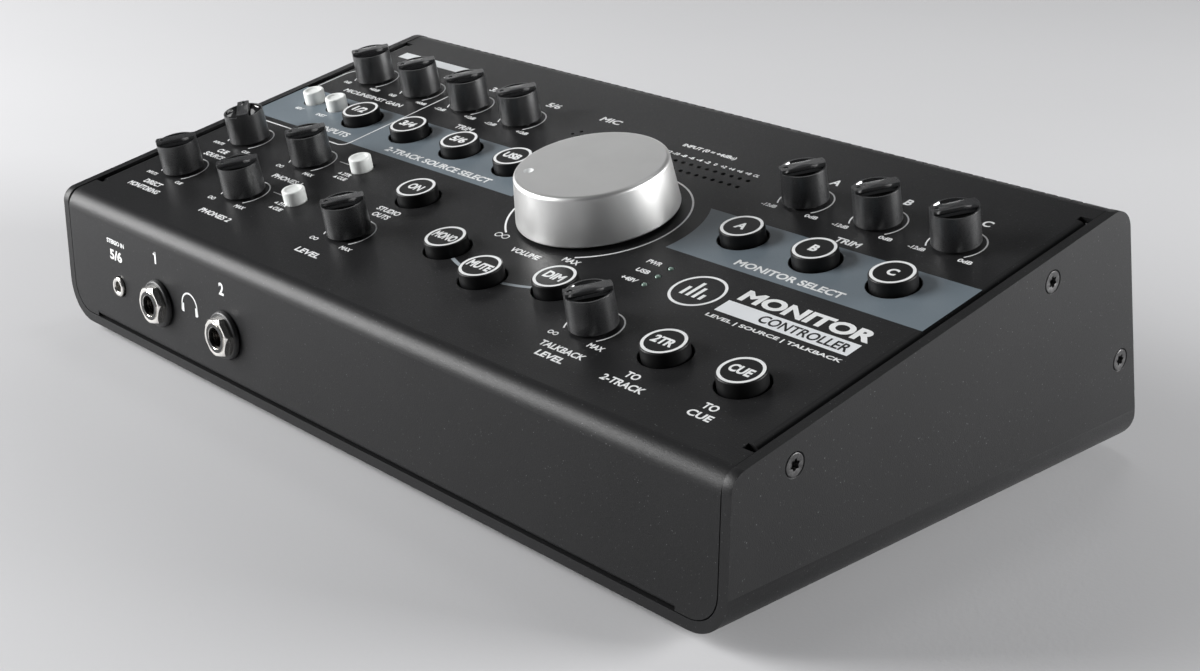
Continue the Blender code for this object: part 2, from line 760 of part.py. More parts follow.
def build_buttons():
    for name, place in BUTTONS.items():
        profile = button_profile(BUTTON_R, BUTTON_TOP_H, 0.35 * MM)
        tidy(make(name, Solid().lathe(profile, 20), GLOSS, on_panel(*place)))
    for name, place in SMALL_BUTTONS.items():
        profile = button_profile(SMALL_R, SMALL_TOP_H, 0.5 * MM)
        tidy(make(name, Solid().lathe(profile, 14), LIGHT, on_panel(*place)))


def build_board():
    """Circuit board under the panel with its rotary controls, switches and meter lamps."""
    low = (BOARD_U[0] * MM, BOARD_V[0] * MM, BOARD_TOP_H - BOARD_T)
    high = (BOARD_U[1] * MM, BOARD_V[1] * MM, BOARD_TOP_H)
    frame = on_panel(0.0, 0.0)
    board = make("control_board", Solid().box(low, high, frame), BOARD)
    sink = BOARD_TOP_H - BOARD_T / 2.0
    parts, bores = Solid(), Solid()
    for u, v in KNOBS.values():
        at = on_panel(u, v)
        parts.prism(rectangle(POT_SIZE, POT_SIZE), sink, POT_TOP_H, at)
        bores.cylinder(STEM_R + GAP, STEM_END_H - GAP, 0.0, 10, at)
    for u, v in [*BUTTONS.values(), *SMALL_BUTTONS.values()]:
        parts.prism(rectangle(SWITCH_SIZE, SWITCH_SIZE), sink, SWITCH_TOP_H, on_panel(u, v))
    first, last = meter_places()[METER_COUNT - 1], meter_places()[0]
    parts.box(
        ((first[0] - 2) * MM, (METER_ROWS_V[1] - 2) * MM, sink),
        ((last[0] + 2) * MM, (METER_ROWS_V[0] + 2) * MM, -2.2 * MM),
        frame,
    )
    return tidy(combine(board, [("UNION", parts), ("DIFFERENCE", bores)]))


def build_light_guide():
    """Clear bar with a peg in each status lamp hole."""
    frame = on_panel(0.0, 0.0)
    us = [u for u, _ in STATUS_LAMPS]
    vs = [v for _, v in STATUS_LAMPS]
    low = ((min(us) - 2) * MM, (min(vs) - 2) * MM, -6.0 * MM)
    high = ((max(us) + 2) * MM, (max(vs) + 2) * MM, -2.2 * MM)
    guide = make("status_light_guide", Solid().box(low, high, frame), LENS)
    pegs = Solid()
    peg = [(0.0, -3 * MM), (0.8 * MM, -3 * MM), (0.8 * MM, -0.2 * MM), (0.5 * MM, 0.05 * MM), (0.0, 0.15 * MM)]
    for place in STATUS_LAMPS:
        pegs.lathe(peg, 10, on_panel(*place))
    return tidy(combine(guide, [("UNION", pegs)]))


# --- sockets ------------------------------------------------------------------------------------------
def build_phone_socket(name, x):
    behind = -SHEET_T - GAP
    body = Solid().prism(rectangle(15 * MM, 15 * MM), behind - 22 * MM, behind)
    socket = make(name, body, SOCKET, on_front(x, SOCKET_Z))
    bush = Solid().cylinder(BUSH_R, behind - 5 * MM, BUSH_OUT, 20)
    bore = Solid().cylinder(PHONE_BORE_R, -18 * MM, BUSH_OUT + MM, 20)
    return tidy(combine(socket, [("UNION", bush), ("DIFFERENCE", bore)]))


def ring_profile(inner, outer, low, high, ease):
    """Closed washer-like ring, walked as (r, h) pairs."""
    return [
        (inner, low),
        (outer, low),
        (outer, high - ease),
        (outer - ease, high),
        (inner, high),
    ]


def build_ring(name, profile, segments, spec, frame):
    """Lathe a profile that does not touch the axis."""
    solid = Solid()
    verts, faces = [], []
    for r, h in profile:
        for a, b in circle(r, segments):
            verts.append((a, b, h))
    rows = len(profile)
    for i in range(rows):
        j = (i + 1) % rows
        for k in range(segments):
            n = (k + 1) % segments
            faces.append((i * segments + k, i * segments + n, j * segments + n, j * segments + k))
    return tidy(make(name, solid.add(verts, faces), spec, frame))


def build_nut(name, frame):
    """Hexagon nut with chamfered corners and a clear bore."""
    low, high = 1.7 * MM, BUSH_OUT - 0.2 * MM
    nut = make(name, Solid().prism(circle(NUT_R, 6), low, high), NICKEL, frame)
    chamfer = [
        (0.0, low - MM),
        (NUT_R + MM, low - MM),
        (NUT_R + MM, high - 1.6 * MM),
        (NUT_R * 0.87, high),
        (0.0, high),
    ]
    hole = Solid().cylinder(BUSH_R + GAP, low - MM, high + MM, 20)
    steps = [("INTERSECT", Solid().lathe(chamfer, 24)), ("DIFFERENCE", hole)]
    return tidy(combine(nut, steps))


def build_front_sockets():
    for number, x in enumerate(PHONES_X, start=1):
        frame = on_front(x, SOCKET_Z)
        build_phone_socket(f"phones_socket_{number}", x)
        profile = ring_profile(BUSH_R + GAP, WASHER_R, GAP, 1.4 * MM, 0.3 * MM)
        build_ring(f"phones_washer_{number}", profile, 20, SOCKET, frame)
        build_nut(f"phones_nut_{number}", frame)
    behind = -SHEET_T - GAP
    frame = on_front(AUX_PLACE[0], AUX_PLACE[1] * MM)
    body = Solid().prism(rectangle(9 * MM, 9 * MM), behind - 12 * MM, behind)
    socket = make("aux_input_socket", body, NICKEL, frame)
    bush = Solid().cylinder(AUX_R, behind - 3 * MM, AUX_OUT, 20)
    bore = Solid().cylinder(AUX_BORE_R, -10 * MM, AUX_OUT + MM, 12)
    tidy(combine(socket, [("UNION", bush), ("DIFFERENCE", bore)]))


def build_combo_sockets():
    behind = -GAP - SHEET_T - GAP
    for number, place in enumerate(COMBO_PLACES, start=1):
        body = Solid().prism(rectangle(27 * MM, 33 * MM), behind - 20 * MM, behind)
        socket = make(f"mic_line_socket_{number}", body, SOCKET, on_back(*place))
        nose = Solid().cylinder(COMBO_R, behind - 5 * MM, -GAP, 24)
        recess = Solid().cylinder(COMBO_BORE_R, -14 * MM, MM, 24)
        centre = Solid().cylinder(6.2 * MM, -15 * MM, -5 * MM, 16)
        throat = Solid().cylinder(LINE_BORE_R, -19 * MM, MM, 14)
        steps = [("UNION", nose), ("DIFFERENCE", recess), ("UNION", centre), ("DIFFERENCE", throat)]
        tidy(combine(socket, steps))


def build_line_sockets():
    """Two moulded rows of six line sockets behind the back wall."""
    behind = -GAP - SHEET_T - GAP
    middle = sum(LINE_X) / len(LINE_X)
    for name, s in LINE_ROWS_S.items():
        frame = on_back(middle, s)
        span = (max(LINE_X) - min(LINE_X)) * MM + 16 * MM
        body = Solid().prism(rectangle(span, 15 * MM), behind - 20 * MM, behind)
        row = make(name, body, SOCKET, frame)
        bushes, bores = Solid(), Solid()
        for x in LINE_X:
            at = Matrix.Translation(((middle - x) * MM, 0, 0))
            bushes.cylinder(BUSH_R, behind - 4 * MM, 1.2 * MM, 12, at)
            bores.cylinder(LINE_BORE_R, -16 * MM, 3 * MM, 14, at)
        tidy(combine(row, [("UNION", bushes), ("DIFFERENCE", bores)]))


def build_usb_socket():
    """Square computer socket: metal can with its tongue."""
    frame = on_back(*USB_PLACE)
    can = make("computer_socket", Solid().prism(rectangle(12 * MM, 11 * MM), -16 * MM, -GAP), NICKEL, frame)
    cavity = Solid().prism(rectangle(10 * MM, 9 * MM), -13 * MM, MM)
    tongue = Solid().prism(rectangle(5.4 * MM, 3.0 * MM), -14 * MM, -4.5 * MM)
    return tidy(combine(can, [("DIFFERENCE", cavity), ("UNION", tongue)]))


def build_power_inlet():
    """Barrel inlet with its centre pin."""
    frame = on_back(*INLET_PLACE)
    body = Solid().prism(rectangle(9 * MM, 11 * MM), -14 * MM, -GAP)
    inlet = make("power_inlet", body, SOCKET, frame)
    bore = Solid().cylinder(3.2 * MM, -11 * MM, MM, 16)
    pin = Solid().cylinder(1.0 * MM, -12 * MM, -2 * MM, 8)
    return tidy(combine(inlet, [("DIFFERENCE", bore), ("UNION", pin)]))


def build_rocker():
    """Power rocker, pivoted across the wall, its faces 2 x ROCKER_TILT apart."""
    half = 8.4 * MM
    deep = -6.0 * MM
    rise = half * math.tan(math.radians(ROCKER_TILT))
    outline = [
        (-half, deep + 2 * MM),
        (-3 * MM, deep),
        (3 * MM, deep),
        (half, deep + 2 * MM),
        (half, 1.0 * MM),
        (0.0, 1.0 * MM - rise),
        (-half, 1.0 * MM),
    ]
    place = on_back(*ROCKER_PLACE) @ Matrix.Translation((0, 0, -2 * MM))
    run = frame_matrix((0, 1, 0), (0, 0, 1), (1, 0, 0), Vector((0, 0, 0)))
    lean = Matrix.Rotation(math.radians(-ROCKER_TILT), 4, "X")
    rocker = Solid().prism(outline, -5.4 * MM, 5.4 * MM, lean @ run)
    tidy(make("power_rocker", rocker, GLOSS, place))


def clear_scene():
    for obj in list(bpy.data.objects):
        bpy.data.objects.remove(obj, do_unlink=True)


def main():
    clear_scene()
    build_tray()
    build_shell()
    build_feet()
    build_screws()
    build_board()
    build_light_guide()
    build_volume_pot()
    build_big_knob()
    for name, place in KNOBS.items():
        build_knob(name, place)
    build_buttons()
    build_front_sockets()
    build_combo_sockets()
    build_line_sockets()
    build_usb_socket()
    build_power_inlet()
    build_rocker()


main()
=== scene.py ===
import json
import math

import bmesh
import bpy
from mathutils import Matrix, Vector

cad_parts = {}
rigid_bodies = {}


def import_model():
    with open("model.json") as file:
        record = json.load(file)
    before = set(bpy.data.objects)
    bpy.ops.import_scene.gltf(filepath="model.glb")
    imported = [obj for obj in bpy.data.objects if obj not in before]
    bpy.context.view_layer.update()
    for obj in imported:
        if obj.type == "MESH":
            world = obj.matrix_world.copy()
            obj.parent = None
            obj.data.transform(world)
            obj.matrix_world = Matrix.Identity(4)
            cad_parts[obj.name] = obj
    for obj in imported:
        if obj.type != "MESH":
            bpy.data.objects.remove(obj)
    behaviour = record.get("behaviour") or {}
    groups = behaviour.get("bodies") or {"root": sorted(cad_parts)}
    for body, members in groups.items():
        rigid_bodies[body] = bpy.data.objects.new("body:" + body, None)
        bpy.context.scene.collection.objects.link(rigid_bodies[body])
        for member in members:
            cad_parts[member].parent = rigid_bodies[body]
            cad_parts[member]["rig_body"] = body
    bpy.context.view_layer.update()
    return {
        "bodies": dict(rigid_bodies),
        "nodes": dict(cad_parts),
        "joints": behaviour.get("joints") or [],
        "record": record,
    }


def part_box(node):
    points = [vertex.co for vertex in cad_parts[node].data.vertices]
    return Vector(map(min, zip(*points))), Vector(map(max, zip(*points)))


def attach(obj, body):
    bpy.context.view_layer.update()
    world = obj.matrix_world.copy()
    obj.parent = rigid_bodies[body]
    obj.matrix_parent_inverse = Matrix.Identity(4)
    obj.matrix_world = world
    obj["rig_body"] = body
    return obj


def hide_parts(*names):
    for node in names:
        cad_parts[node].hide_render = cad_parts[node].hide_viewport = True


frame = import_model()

NODES = frame["nodes"]
MM = 0.001

# Sizes are in metres, as a number times MM. Places without MM are in millimetres, and turns in degrees.

# --- case sizes ---
WIDTH = 300.0 * MM
DEPTH = 169.8 * MM
FRONT_HEIGHT = 42.6 * MM
BACK_HEIGHT = 75.3 * MM
BACK_TOP_Y = 151.9 * MM
TRAY_T = 3.0 * MM
TRAY_BEND_R = 12.2 * MM
CHEEK_FRONT_R = 5.0 * MM
CHEEK_BACK_R = 7.0 * MM
SHEET_T = 1.6 * MM
FRONT_BEND_R = 6.0 * MM
BACK_BEND_R = 6.5 * MM
GAP = 0.3 * MM
SHELL_DROP = 0.2 * MM
FOOT_H = 2.5 * MM
FOOT_R = 6.0 * MM
REACH = 0.2  # past the case on every side

# --- side flanges of the shell ---
FLANGE_R = 3.0 * MM
FLANGE_LAP = 1.5 * MM
FLANGE_DROP = 14.0 * MM
FLANGE_V = (13.0 * MM, 141.0 * MM)
NOTCH = 2.2 * MM
FRONT_FLANGE_X = (17.0 * MM, 283.5 * MM)
FRONT_FLANGE_DEPTH = 12.0 * MM
FRONT_FLANGE_R = 2.0 * MM

# --- vents over the rear bend ---
VENT_PITCH = 4.0 * MM
VENT_COUNT = 70
VENT_W = 1.5 * MM
VENT_ON_TOP = 5.3 * MM
VENT_ON_BACK = 14.0 * MM

# --- control, socket and screw sizes ---
KNOB_BASE_R = 6.72 * MM
KNOB_TOP_R = 6.5 * MM
KNOB_RIM_H = 10.2 * MM
KNOB_BAR_H = 11.2 * MM
KNOB_GAP = 0.6 * MM
KNOB_BAR_W = 3.8 * MM
KNOB_WALL = 0.5 * MM
KNOB_SCOOP = 1.15 * MM
KNOB_DOT_AT = 4.7 * MM
KNOB_DOT_R = 0.72 * MM
STEM_R = 3.0 * MM
STEM_END_H = -5.0 * MM
CUE_SOURCE_TURN = -36.0
KNOB_TURN = 56.0
BIG_BASE_R = 24.1 * MM
BIG_TOP_R = 22.5 * MM
BIG_TOP_H = 15.5 * MM
BIG_CHAMFER = 1.3 * MM
BIG_GAP = 0.8 * MM
BIG_DIMPLE_R = 1.5 * MM
BIG_DIMPLE_AT = 18.0 * MM
BIG_DIMPLE_DEEP = 0.5 * MM
BIG_DIMPLE_TURN = 223.0
BIG_WELL_R = 6.5 * MM
BIG_WELL_TOP = 4.0 * MM
BUTTON_R = 6.4 * MM
BUTTON_HOLE_R = 7.1 * MM
BUTTON_TOP_H = 3.5 * MM
BUTTON_SKIRT_H = -2.6 * MM
BUTTON_RING_R = 5.55 * MM
BUTTON_RING_W = 0.85 * MM
PLUNGER_R = 2.0 * MM
PLUNGER_END_H = -4.0 * MM
SMALL_R = 3.6 * MM
SMALL_HOLE_R = 3.95 * MM
SMALL_TOP_H = 4.0 * MM
HOLE_EASE = 0.32 * MM
DRILL_LOW = -4.0 * MM
DRILL_HIGH = 2.0 * MM
STATUS_LAMPS = ((217.5, 64.8), (217.5, 59.8), (217.5, 54.7))
STATUS_R = 1.1 * MM
METER_LAST_U = 198.6
METER_PITCH = 3.28
METER_COUNT = 12
METER_ROWS_V = (116.2, 111.6)
METER_R = 0.75 * MM
MIC_HOLES = ((124.6, 114.8), (127.4, 114.8), (126.0, 117.4))
MIC_R = 0.6 * MM
SOCKET_Z = 18.5 * MM
PHONES_X = (57.6, 95.3)
BUSH_R = 4.5 * MM
BUSH_OUT = 4.2 * MM
PHONE_BORE_R = 3.3 * MM
LINE_BORE_R = 3.4 * MM
LINER_R = LINE_BORE_R - 0.04 * MM
WASHER_R = 7.7 * MM
WASHER_H = 1.75 * MM
NUT_R = 6.35 * MM
AUX_PLACE = (33.2, 17.6)
AUX_R = 3.1 * MM
AUX_OUT = 1.1 * MM
AUX_BORE_R = 1.8 * MM
COMBO_PLACES = ((34.0, 36.0), (70.0, 36.0))
COMBO_R = 11.6 * MM
COMBO_BORE_R = 9.5 * MM
LINE_X = (104.0, 122.0, 140.0, 158.0, 176.0, 194.0)
LINE_ROWS_S = {"line_socket_row_upper": 48.0, "line_socket_row_lower": 22.0}
USB_PLACE = (220.0, 34.0)
INLET_PLACE = (246.0, 34.0)
ROCKER_PLACE = (272.0, 34.0)
ROCKER_TILT = 9.0
SCREW_HEAD_R = 3.1 * MM
SCREW_R = 1.4 * MM
SCREW_LEN = 7.0 * MM
SCREWS_YZ = ((20.9, 39.6), (118.8, 60.9), (155.9, 29.8))

FRONT_Y = -(DEPTH - BUSH_OUT) / 2.0
SLOPE = math.atan2(BACK_HEIGHT - FRONT_HEIGHT, BACK_TOP_Y)
LEAN = math.atan2(DEPTH - BACK_TOP_Y, BACK_HEIGHT)
INK_LOW = -SHELL_DROP - 0.01 * MM
INK_T = 0.035 * MM
MIDDLE = WIDTH / 2.0 / MM
HALF_SHELL = WIDTH / 2.0 - TRAY_T - GAP
FRONT_LIP_X = [x - WIDTH / 2.0 for x in FRONT_FLANGE_X]
FRONT_BEHIND = -SHEET_T - GAP
BACK_BEHIND = -GAP - SHEET_T - GAP
LIGHT_TARGET = Vector((0.0, 0.0, 0.04))


def named(*starts):
    """CAD nodes whose names start so."""
    return [node for node in NODES if node.startswith(starts)]


SMALL_KNOBS = [node for node in NODES if "knob" in node and node != "volume_knob"]
SMALL_BUTTONS = named("phantom_b", "instrument_b", "phones_source_b")


# --- materials ---
def link(tree, out_node, out_name, in_node, in_name):
    tree.links.new(out_node.outputs[out_name], in_node.inputs[in_name])


def noise(tree, where, scale_mm, detail, rough=0.5):
    node = tree.nodes.new("ShaderNodeTexNoise")
    node.inputs["Scale"].default_value = 1.0 / (scale_mm * MM)
    node.inputs["Detail"].default_value = detail
    node.inputs["Roughness"].default_value = rough
    link(tree, where, "Object", node, "Vector")
    return node


def span(tree, source, out_name, low, high, start=0.3, end=0.7):
    node = tree.nodes.new("ShaderNodeMapRange")
    node.inputs["From Min"].default_value = start
    node.inputs["From Max"].default_value = end
    node.inputs["To Min"].default_value = low
    node.inputs["To Max"].default_value = high
    link(tree, source, out_name, node, "Value")
    return node


def surface(name, color, rough, metallic=0.0, tone=(20.0, 0.12), relief=(0.4, 0.01), rough_by=0.05,
            painted_glints=None, specular=0.5, coat=0.0, ior=1.5):
    """Procedural finish: cloudy tone, uneven roughness, fine relief and, if asked, bright specks painted
    into the base colour as glints.
    """
    made = bpy.data.materials.new(name)
    made.use_nodes = True
    tree = made.node_tree
    shader = tree.nodes["Principled BSDF"]
    shader.inputs["Metallic"].default_value = metallic
    shader.inputs["Specular IOR Level"].default_value = specular
    shader.inputs["IOR"].default_value = ior
    shader.inputs["Coat Weight"].default_value = coat
    shader.inputs["Coat Roughness"].default_value = 0.08
    where = tree.nodes.new("ShaderNodeTexCoord")
    cloud = noise(tree, where, tone[0], 4.0)
    mix = tree.nodes.new("ShaderNodeMix")
    mix.data_type = "RGBA"
    low = [max(0.0, c * (1.0 - tone[1])) for c in color]
    high = [min(1.0, c * (1.0 + tone[1])) for c in color]
    mix.inputs["A"].default_value = (*low, 1.0)
    mix.inputs["B"].default_value = (*high, 1.0)
    link(tree, span(tree, cloud, "Fac", 0.0, 1.0), "Result", mix, "Factor")
    out = mix
    if painted_glints:
        cells = tree.nodes.new("ShaderNodeTexVoronoi")
        cells.inputs["Scale"].default_value = 1.0 / (painted_glints[0] * MM)
        link(tree, where, "Object", cells, "Vector")
        bright = span(tree, cells, "Color", 0.0, 1.0, painted_glints[1], 1.0)
        out = tree.nodes.new("ShaderNodeMix")
        out.data_type = "RGBA"
        out.inputs["B"].default_value = (*painted_glints[2], 1.0)
        link(tree, mix, "Result", out, "A")
        link(tree, bright, "Result", out, "Factor")
    link(tree, out, "Result", shader, "Base Color")
    grain = noise(tree, where, relief[0], 2.0)
    uneven = span(tree, grain, "Fac", rough - rough_by, rough + rough_by)
    link(tree, uneven, "Result", shader, "Roughness")
    bump = tree.nodes.new("ShaderNodeBump")
    bump.inputs["Strength"].default_value = 1.0
    bump.inputs["Distance"].default_value = relief[1] * MM
    link(tree, grain, "Fac", bump, "Height")
    link(tree, bump, "Normal", shader, "Normal")
    return made


# The powder coat's bright specks are painted glints: its sparkle put into the base colour.
POWDER = surface("powder_coat", (0.0140, 0.0141, 0.0147), 0.42, 0.0, (35.0, 0.08), (0.32, 0.034), 0.07,
                 painted_glints=(0.22, 0.92, (0.14, 0.14, 0.145)), specular=0.18)
SATIN = surface("knob_satin", (0.0200, 0.0204, 0.0213), 0.30, 0.0, (6.0, 0.15), (0.12, 0.004), 0.06,
                ior=1.75)
POLISHED = surface("knob_polished", (0.006, 0.006, 0.006), 0.10, 0.0, (6.0, 0.2), (0.5, 0.0005), 0.02,
                   ior=2.6)
CAP = surface("button_satin", (0.0050, 0.0051, 0.0054), 0.42, 0.0, (5.0, 0.2), (0.15, 0.002), 0.05,
              specular=0.22)
PALE = surface("pale_plastic", (0.80, 0.82, 0.80), 0.38, 0.0, (4.0, 0.05), (0.2, 0.003), 0.06)
SILVER = surface("satin_aluminium", (0.76, 0.76, 0.752), 0.43, 1.0, (9.0, 0.02), (0.10, 0.0025), 0.03)
CHROME = surface("bright_nickel", (0.92, 0.90, 0.86), 0.22, 1.0, (3.0, 0.06), (0.4, 0.001), 0.04)
MOULDED = surface("moulded_black", (0.012, 0.012, 0.0125), 0.44, 0.0, (4.0, 0.15), (0.15, 0.004), 0.06)
STEEL = surface("blackened_steel", (0.070, 0.069, 0.070), 0.34, 0.7, (1.5, 0.25), (0.12, 0.003), 0.08)
RUBBER = surface("foot_rubber", (0.010, 0.010, 0.010), 0.80, 0.0, (3.0, 0.2), (0.3, 0.01), 0.08)
LAMINATE = surface("board_laminate", (0.006, 0.040, 0.018), 0.45, 0.0, (7.0, 0.25), (0.6, 0.01), 0.08)
GOLD = surface("contact_gold", (0.75, 0.52, 0.22), 0.25, 1.0, (1.0, 0.08), (0.2, 0.001), 0.05)
LENS = surface("lamp_lens", (0.16, 0.24, 0.20), 0.22, 0.0, (1.0, 0.1), (0.3, 0.001), 0.04, coat=0.6)
LAMP = surface("meter_lens", (0.020, 0.024, 0.022), 0.18, 0.0, (1.0, 0.2), (0.3, 0.001), 0.04, coat=0.5)
# White ink for print and the small knobs' dots; on the big knob's dimple it is a painted highlight.
WHITE_INK_AND_HIGHLIGHT = surface("white_ink_and_painted_highlight", (0.78, 0.79, 0.79), 0.50, 0.0, (2.5, 0.05), (0.15, 0.004), 0.05)
# Nickel darkened into painted shade for the thread deep in the phones bores.
SHADED_NICKEL = surface("bore_nickel_painted_shade", (0.12, 0.11, 0.10), 0.25, 1.0, (3.0, 0.06), (0.4, 0.001), 0.04)
GREY_INK = surface("grey_ink", (0.30, 0.335, 0.36), 0.46, 0.0, (12.0, 0.05), (0.15, 0.004), 0.05)
# The band ink's bright specks are painted glints too.
BAND_INK = surface("band_ink", (0.138, 0.170, 0.195), 0.42, 0.0, (30.0, 0.05), (0.30, 0.015), 0.06,
                   painted_glints=(0.22, 0.95, (0.24, 0.27, 0.29)))
LIGHT_INK = surface("light_ink", (0.74, 0.76, 0.78), 0.48, 0.0, (14.0, 0.03), (0.25, 0.008), 0.05)
HEADER_INK = surface("header_ink", (0.66, 0.68, 0.69), 0.48, 0.0, (14.0, 0.03), (0.25, 0.008), 0.05)


# --- frames ---
def frame_matrix(x_axis, y_axis, z_axis, origin):
    """Matrix whose columns are the three axes and the origin."""
    columns = Matrix((x_axis, y_axis, z_axis)).transposed().to_4x4()
    return Matrix.Translation(origin) @ columns


def case_point(x, y, z):
    """World place of a point given from the left cheek, the front plane and the tray."""
    return Vector((x - WIDTH / 2.0, FRONT_Y + y, FOOT_H + z))


def on_panel(u, v, turn=0.0):
    """Frame on the sloping panel, its z along the panel's normal."""
    along = Vector((0.0, math.cos(SLOPE), math.sin(SLOPE)))
    normal = Vector((0.0, -math.sin(SLOPE), math.cos(SLOPE)))
    origin = case_point(u * MM, 0.0, FRONT_HEIGHT) + along * (v * MM)
    frame = frame_matrix((1.0, 0.0, 0.0), along, normal, origin)
    return frame @ Matrix.Rotation(math.radians(turn), 4, "Z")


def on_front(x, z):
    """Frame on the front wall, its z pointing out towards the user."""
    return frame_matrix((1, 0, 0), (0, 0, 1), (0, -1, 0), case_point(x * MM, 0.0, z))


def on_back(x, s):
    """Frame on the leaning back wall, its z pointing out of the case."""
    up = Vector((0.0, -math.sin(LEAN), math.cos(LEAN)))
    out = Vector((0.0, math.cos(LEAN), math.sin(LEAN)))
    origin = case_point(x * MM, DEPTH, 0.0) + up * (s * MM)
    return frame_matrix((-1, 0, 0), up, out, origin)


def on_side(side, y, z):
    """Frame on a cheek's outer face, its z pointing out; side is -1 or +1."""
    place = case_point(WIDTH if side > 0 else 0.0, y * MM, z * MM)
    return frame_matrix((0, side, 0), (0, 0, 1), (side, 0, 0), place)


PANEL = on_panel(0.0, 0.0)
YZ_FRAME = frame_matrix((0, 1, 0), (0, 0, 1), (1, 0, 0), Vector((0, 0, 0)))
XZ_FRAME = frame_matrix((1, 0, 0), (0, 0, 1), (0, -1, 0), Vector((0, 0, 0)))


# --- mesh helpers ---
class Solid:
    """Vertices and faces of one or more closed bodies, gathered before meshing."""

    def __init__(self):
        self.verts = []
        self.faces = []

    def add(self, verts, faces, frame=None):
        base = len(self.verts)
        frame = frame or Matrix.Identity(4)
        self.verts += [frame @ Vector(v) for v in verts]
        self.faces += [[base + i for i in face] for face in faces]
        return self

    def box(self, low, high, frame=None):
        xs, ys, zs = zip(low, high)
        verts = [(x, y, z) for z in zs for y in ys for x in xs]
        faces = [(0, 2, 3, 1), (4, 5, 7, 6), (0, 1, 5, 4), (2, 6, 7, 3), (0, 4, 6, 2), (1, 3, 7, 5)]
        return self.add(verts, faces, frame)

    def prism(self, outline, low, high, frame=None):
        """Outline of (a, b) pairs, counter-clockwise, run along z from low to high."""
        count = len(outline)
        verts = [(a, b, low) for a, b in outline] + [(a, b, high) for a, b in outline]
        faces = [list(range(count))[::-1], list(range(count, 2 * count))]
        for i in range(count):
            j = (i + 1) % count
            faces.append((i, j, count + j, count + i))
        return self.add(verts, faces, frame)

    def lathe(self, profile, segments, frame=None):
        """Profile of (r, h) pairs from the bottom centre round the outside to the top centre."""
        verts, faces, rings = [], [], []
        for r, h in profile:
            if r == 0.0:
                rings.append([len(verts)] * segments)
                verts.append((0.0, 0.0, h))
                continue
            rings.append(list(range(len(verts), len(verts) + segments)))
            for k in range(segments):
                angle = 2.0 * math.pi * k / segments
                verts.append((r * math.cos(angle), r * math.sin(angle), h))
        for low, high in zip(rings, rings[1:]):
            for k in range(segments):
                n = (k + 1) % segments
                face = [low[k], low[n], high[n], high[k]]
                faces.append(list(dict.fromkeys(face)))
        return self.add(verts, faces, frame)

    def cylinder(self, radius, low, high, segments, frame=None):
        return self.prism(circle(radius, segments), low, high, frame)


def circle(radius, segments, start=0.0):
    angles = [start + 2.0 * math.pi * k / segments for k in range(segments)]
    return [(radius * math.cos(a), radius * math.sin(a)) for a in angles]


def mm(points):
    return [(a * MM, b * MM) for a, b in points]


def rectangle(width, height):
    w, h = width / 2.0, height / 2.0
    return [(-w, -h), (w, -h), (w, h), (-w, h)]


def rounded(corners, steps=8):
    """Outline whose (a, b, radius) corners become arcs; a fourth number sets that arc's steps."""
    result = []
    count = len(corners)
    for i, (a, b, *arc) in enumerate(corners):
        if not arc:
            result.append((a, b))
            continue
        radius, arc_steps = arc if len(arc) > 1 else (arc[0], steps)
        here = Vector((a, b))
        before = (Vector(corners[i - 1][:2]) - here).normalized()
        after = (Vector(corners[(i + 1) % count][:2]) - here).normalized()
        half = before.angle(after) / 2.0
        middle = here + (before + after).normalized() * (radius / math.sin(half))
        first = here + before * (radius / math.tan(half)) - middle
        sweep = math.pi - 2.0 * half
        if before.x * after.y - before.y * after.x > 0.0:
            sweep = -sweep
        for k in range(arc_steps + 1):
            angle = sweep * k / arc_steps
            c, s = math.cos(angle), math.sin(angle)
            spoke = Vector((first.x * c - first.y * s, first.x * s + first.y * c))
            result.append(tuple(middle + spoke))
    return result


def flared(radius, wide, bottom, knee, lip, top):
    """Lathe profile of a hole that opens from radius at the knee to wide at the lip."""
    return [(0.0, bottom), (radius, bottom), (radius, knee), (wide, lip), (wide, top), (0.0, top)]


def domed(radius, bottom, base, rise, steps):
    """Lathe profile of a peg whose end above base is a quarter ellipse."""
    turns = [math.pi / 2.0 * k / steps for k in range(steps)]
    curve = [(radius * math.cos(a), base + rise * math.sin(a)) for a in turns]
    return [(0.0, bottom), (radius, bottom), *curve, (0.0, base + rise)]


def block(width, height, low, high):
    """Plain box about the axis; width and height in millimetres."""
    return Solid().prism(rectangle(width * MM, height * MM), low, high)


# --- pieces ---
def make(name, solid, skin, frame=None, colors=None):
    """Mesh object from a solid, placed by the frame; colors gives each face its material."""
    mesh = bpy.data.meshes.new(name)
    place = frame or Matrix.Identity(4)
    mesh.from_pydata([tuple(place @ v) for v in solid.verts], [], solid.faces)
    for item in skin if isinstance(skin, list) else [skin]:
        if item is not None:
            mesh.materials.append(item)
    if colors:
        mesh.polygons.foreach_set("material_index", colors)
    bm = bmesh.new()
    bm.from_mesh(mesh)
    bmesh.ops.recalc_face_normals(bm, faces=bm.faces)
    bm.to_mesh(mesh)
    bm.free()
    obj = bpy.data.objects.new(name, mesh)
    bpy.context.scene.collection.objects.link(obj)
    return obj


def layered(name, layers, frame=None):
    """One object from several (solid, material) layers."""
    whole, colors = Solid(), []
    for index, (solid, _) in enumerate(layers):
        whole.add(solid.verts, solid.faces)
        colors += [index] * len(solid.faces)
    return make(name, whole, [skin for _, skin in layers], frame, colors)


def combine(obj, steps, frame=None):
    """Apply (operation, solid) pairs to the object as exact Booleans, then drop the tools."""
    tools = []
    for number, (operation, solid) in enumerate(steps):
        tool = make(f"tool_{number}", solid, None, frame)
        tools.append(tool)
        modifier = obj.modifiers.new(operation.lower(), "BOOLEAN")
        modifier.operation = operation
        modifier.solver = "EXACT"
        modifier.object = tool
    apply_modifiers(obj)
    for tool in tools:
        bpy.data.objects.remove(tool, do_unlink=True)
    return obj


def apply_modifiers(obj):
    bpy.context.view_layer.update()
    graph = bpy.context.evaluated_depsgraph_get()
    result = bpy.data.meshes.new_from_object(obj.evaluated_get(graph))
    obj.modifiers.clear()
    obj.data = result
    result.name = obj.name
    return obj


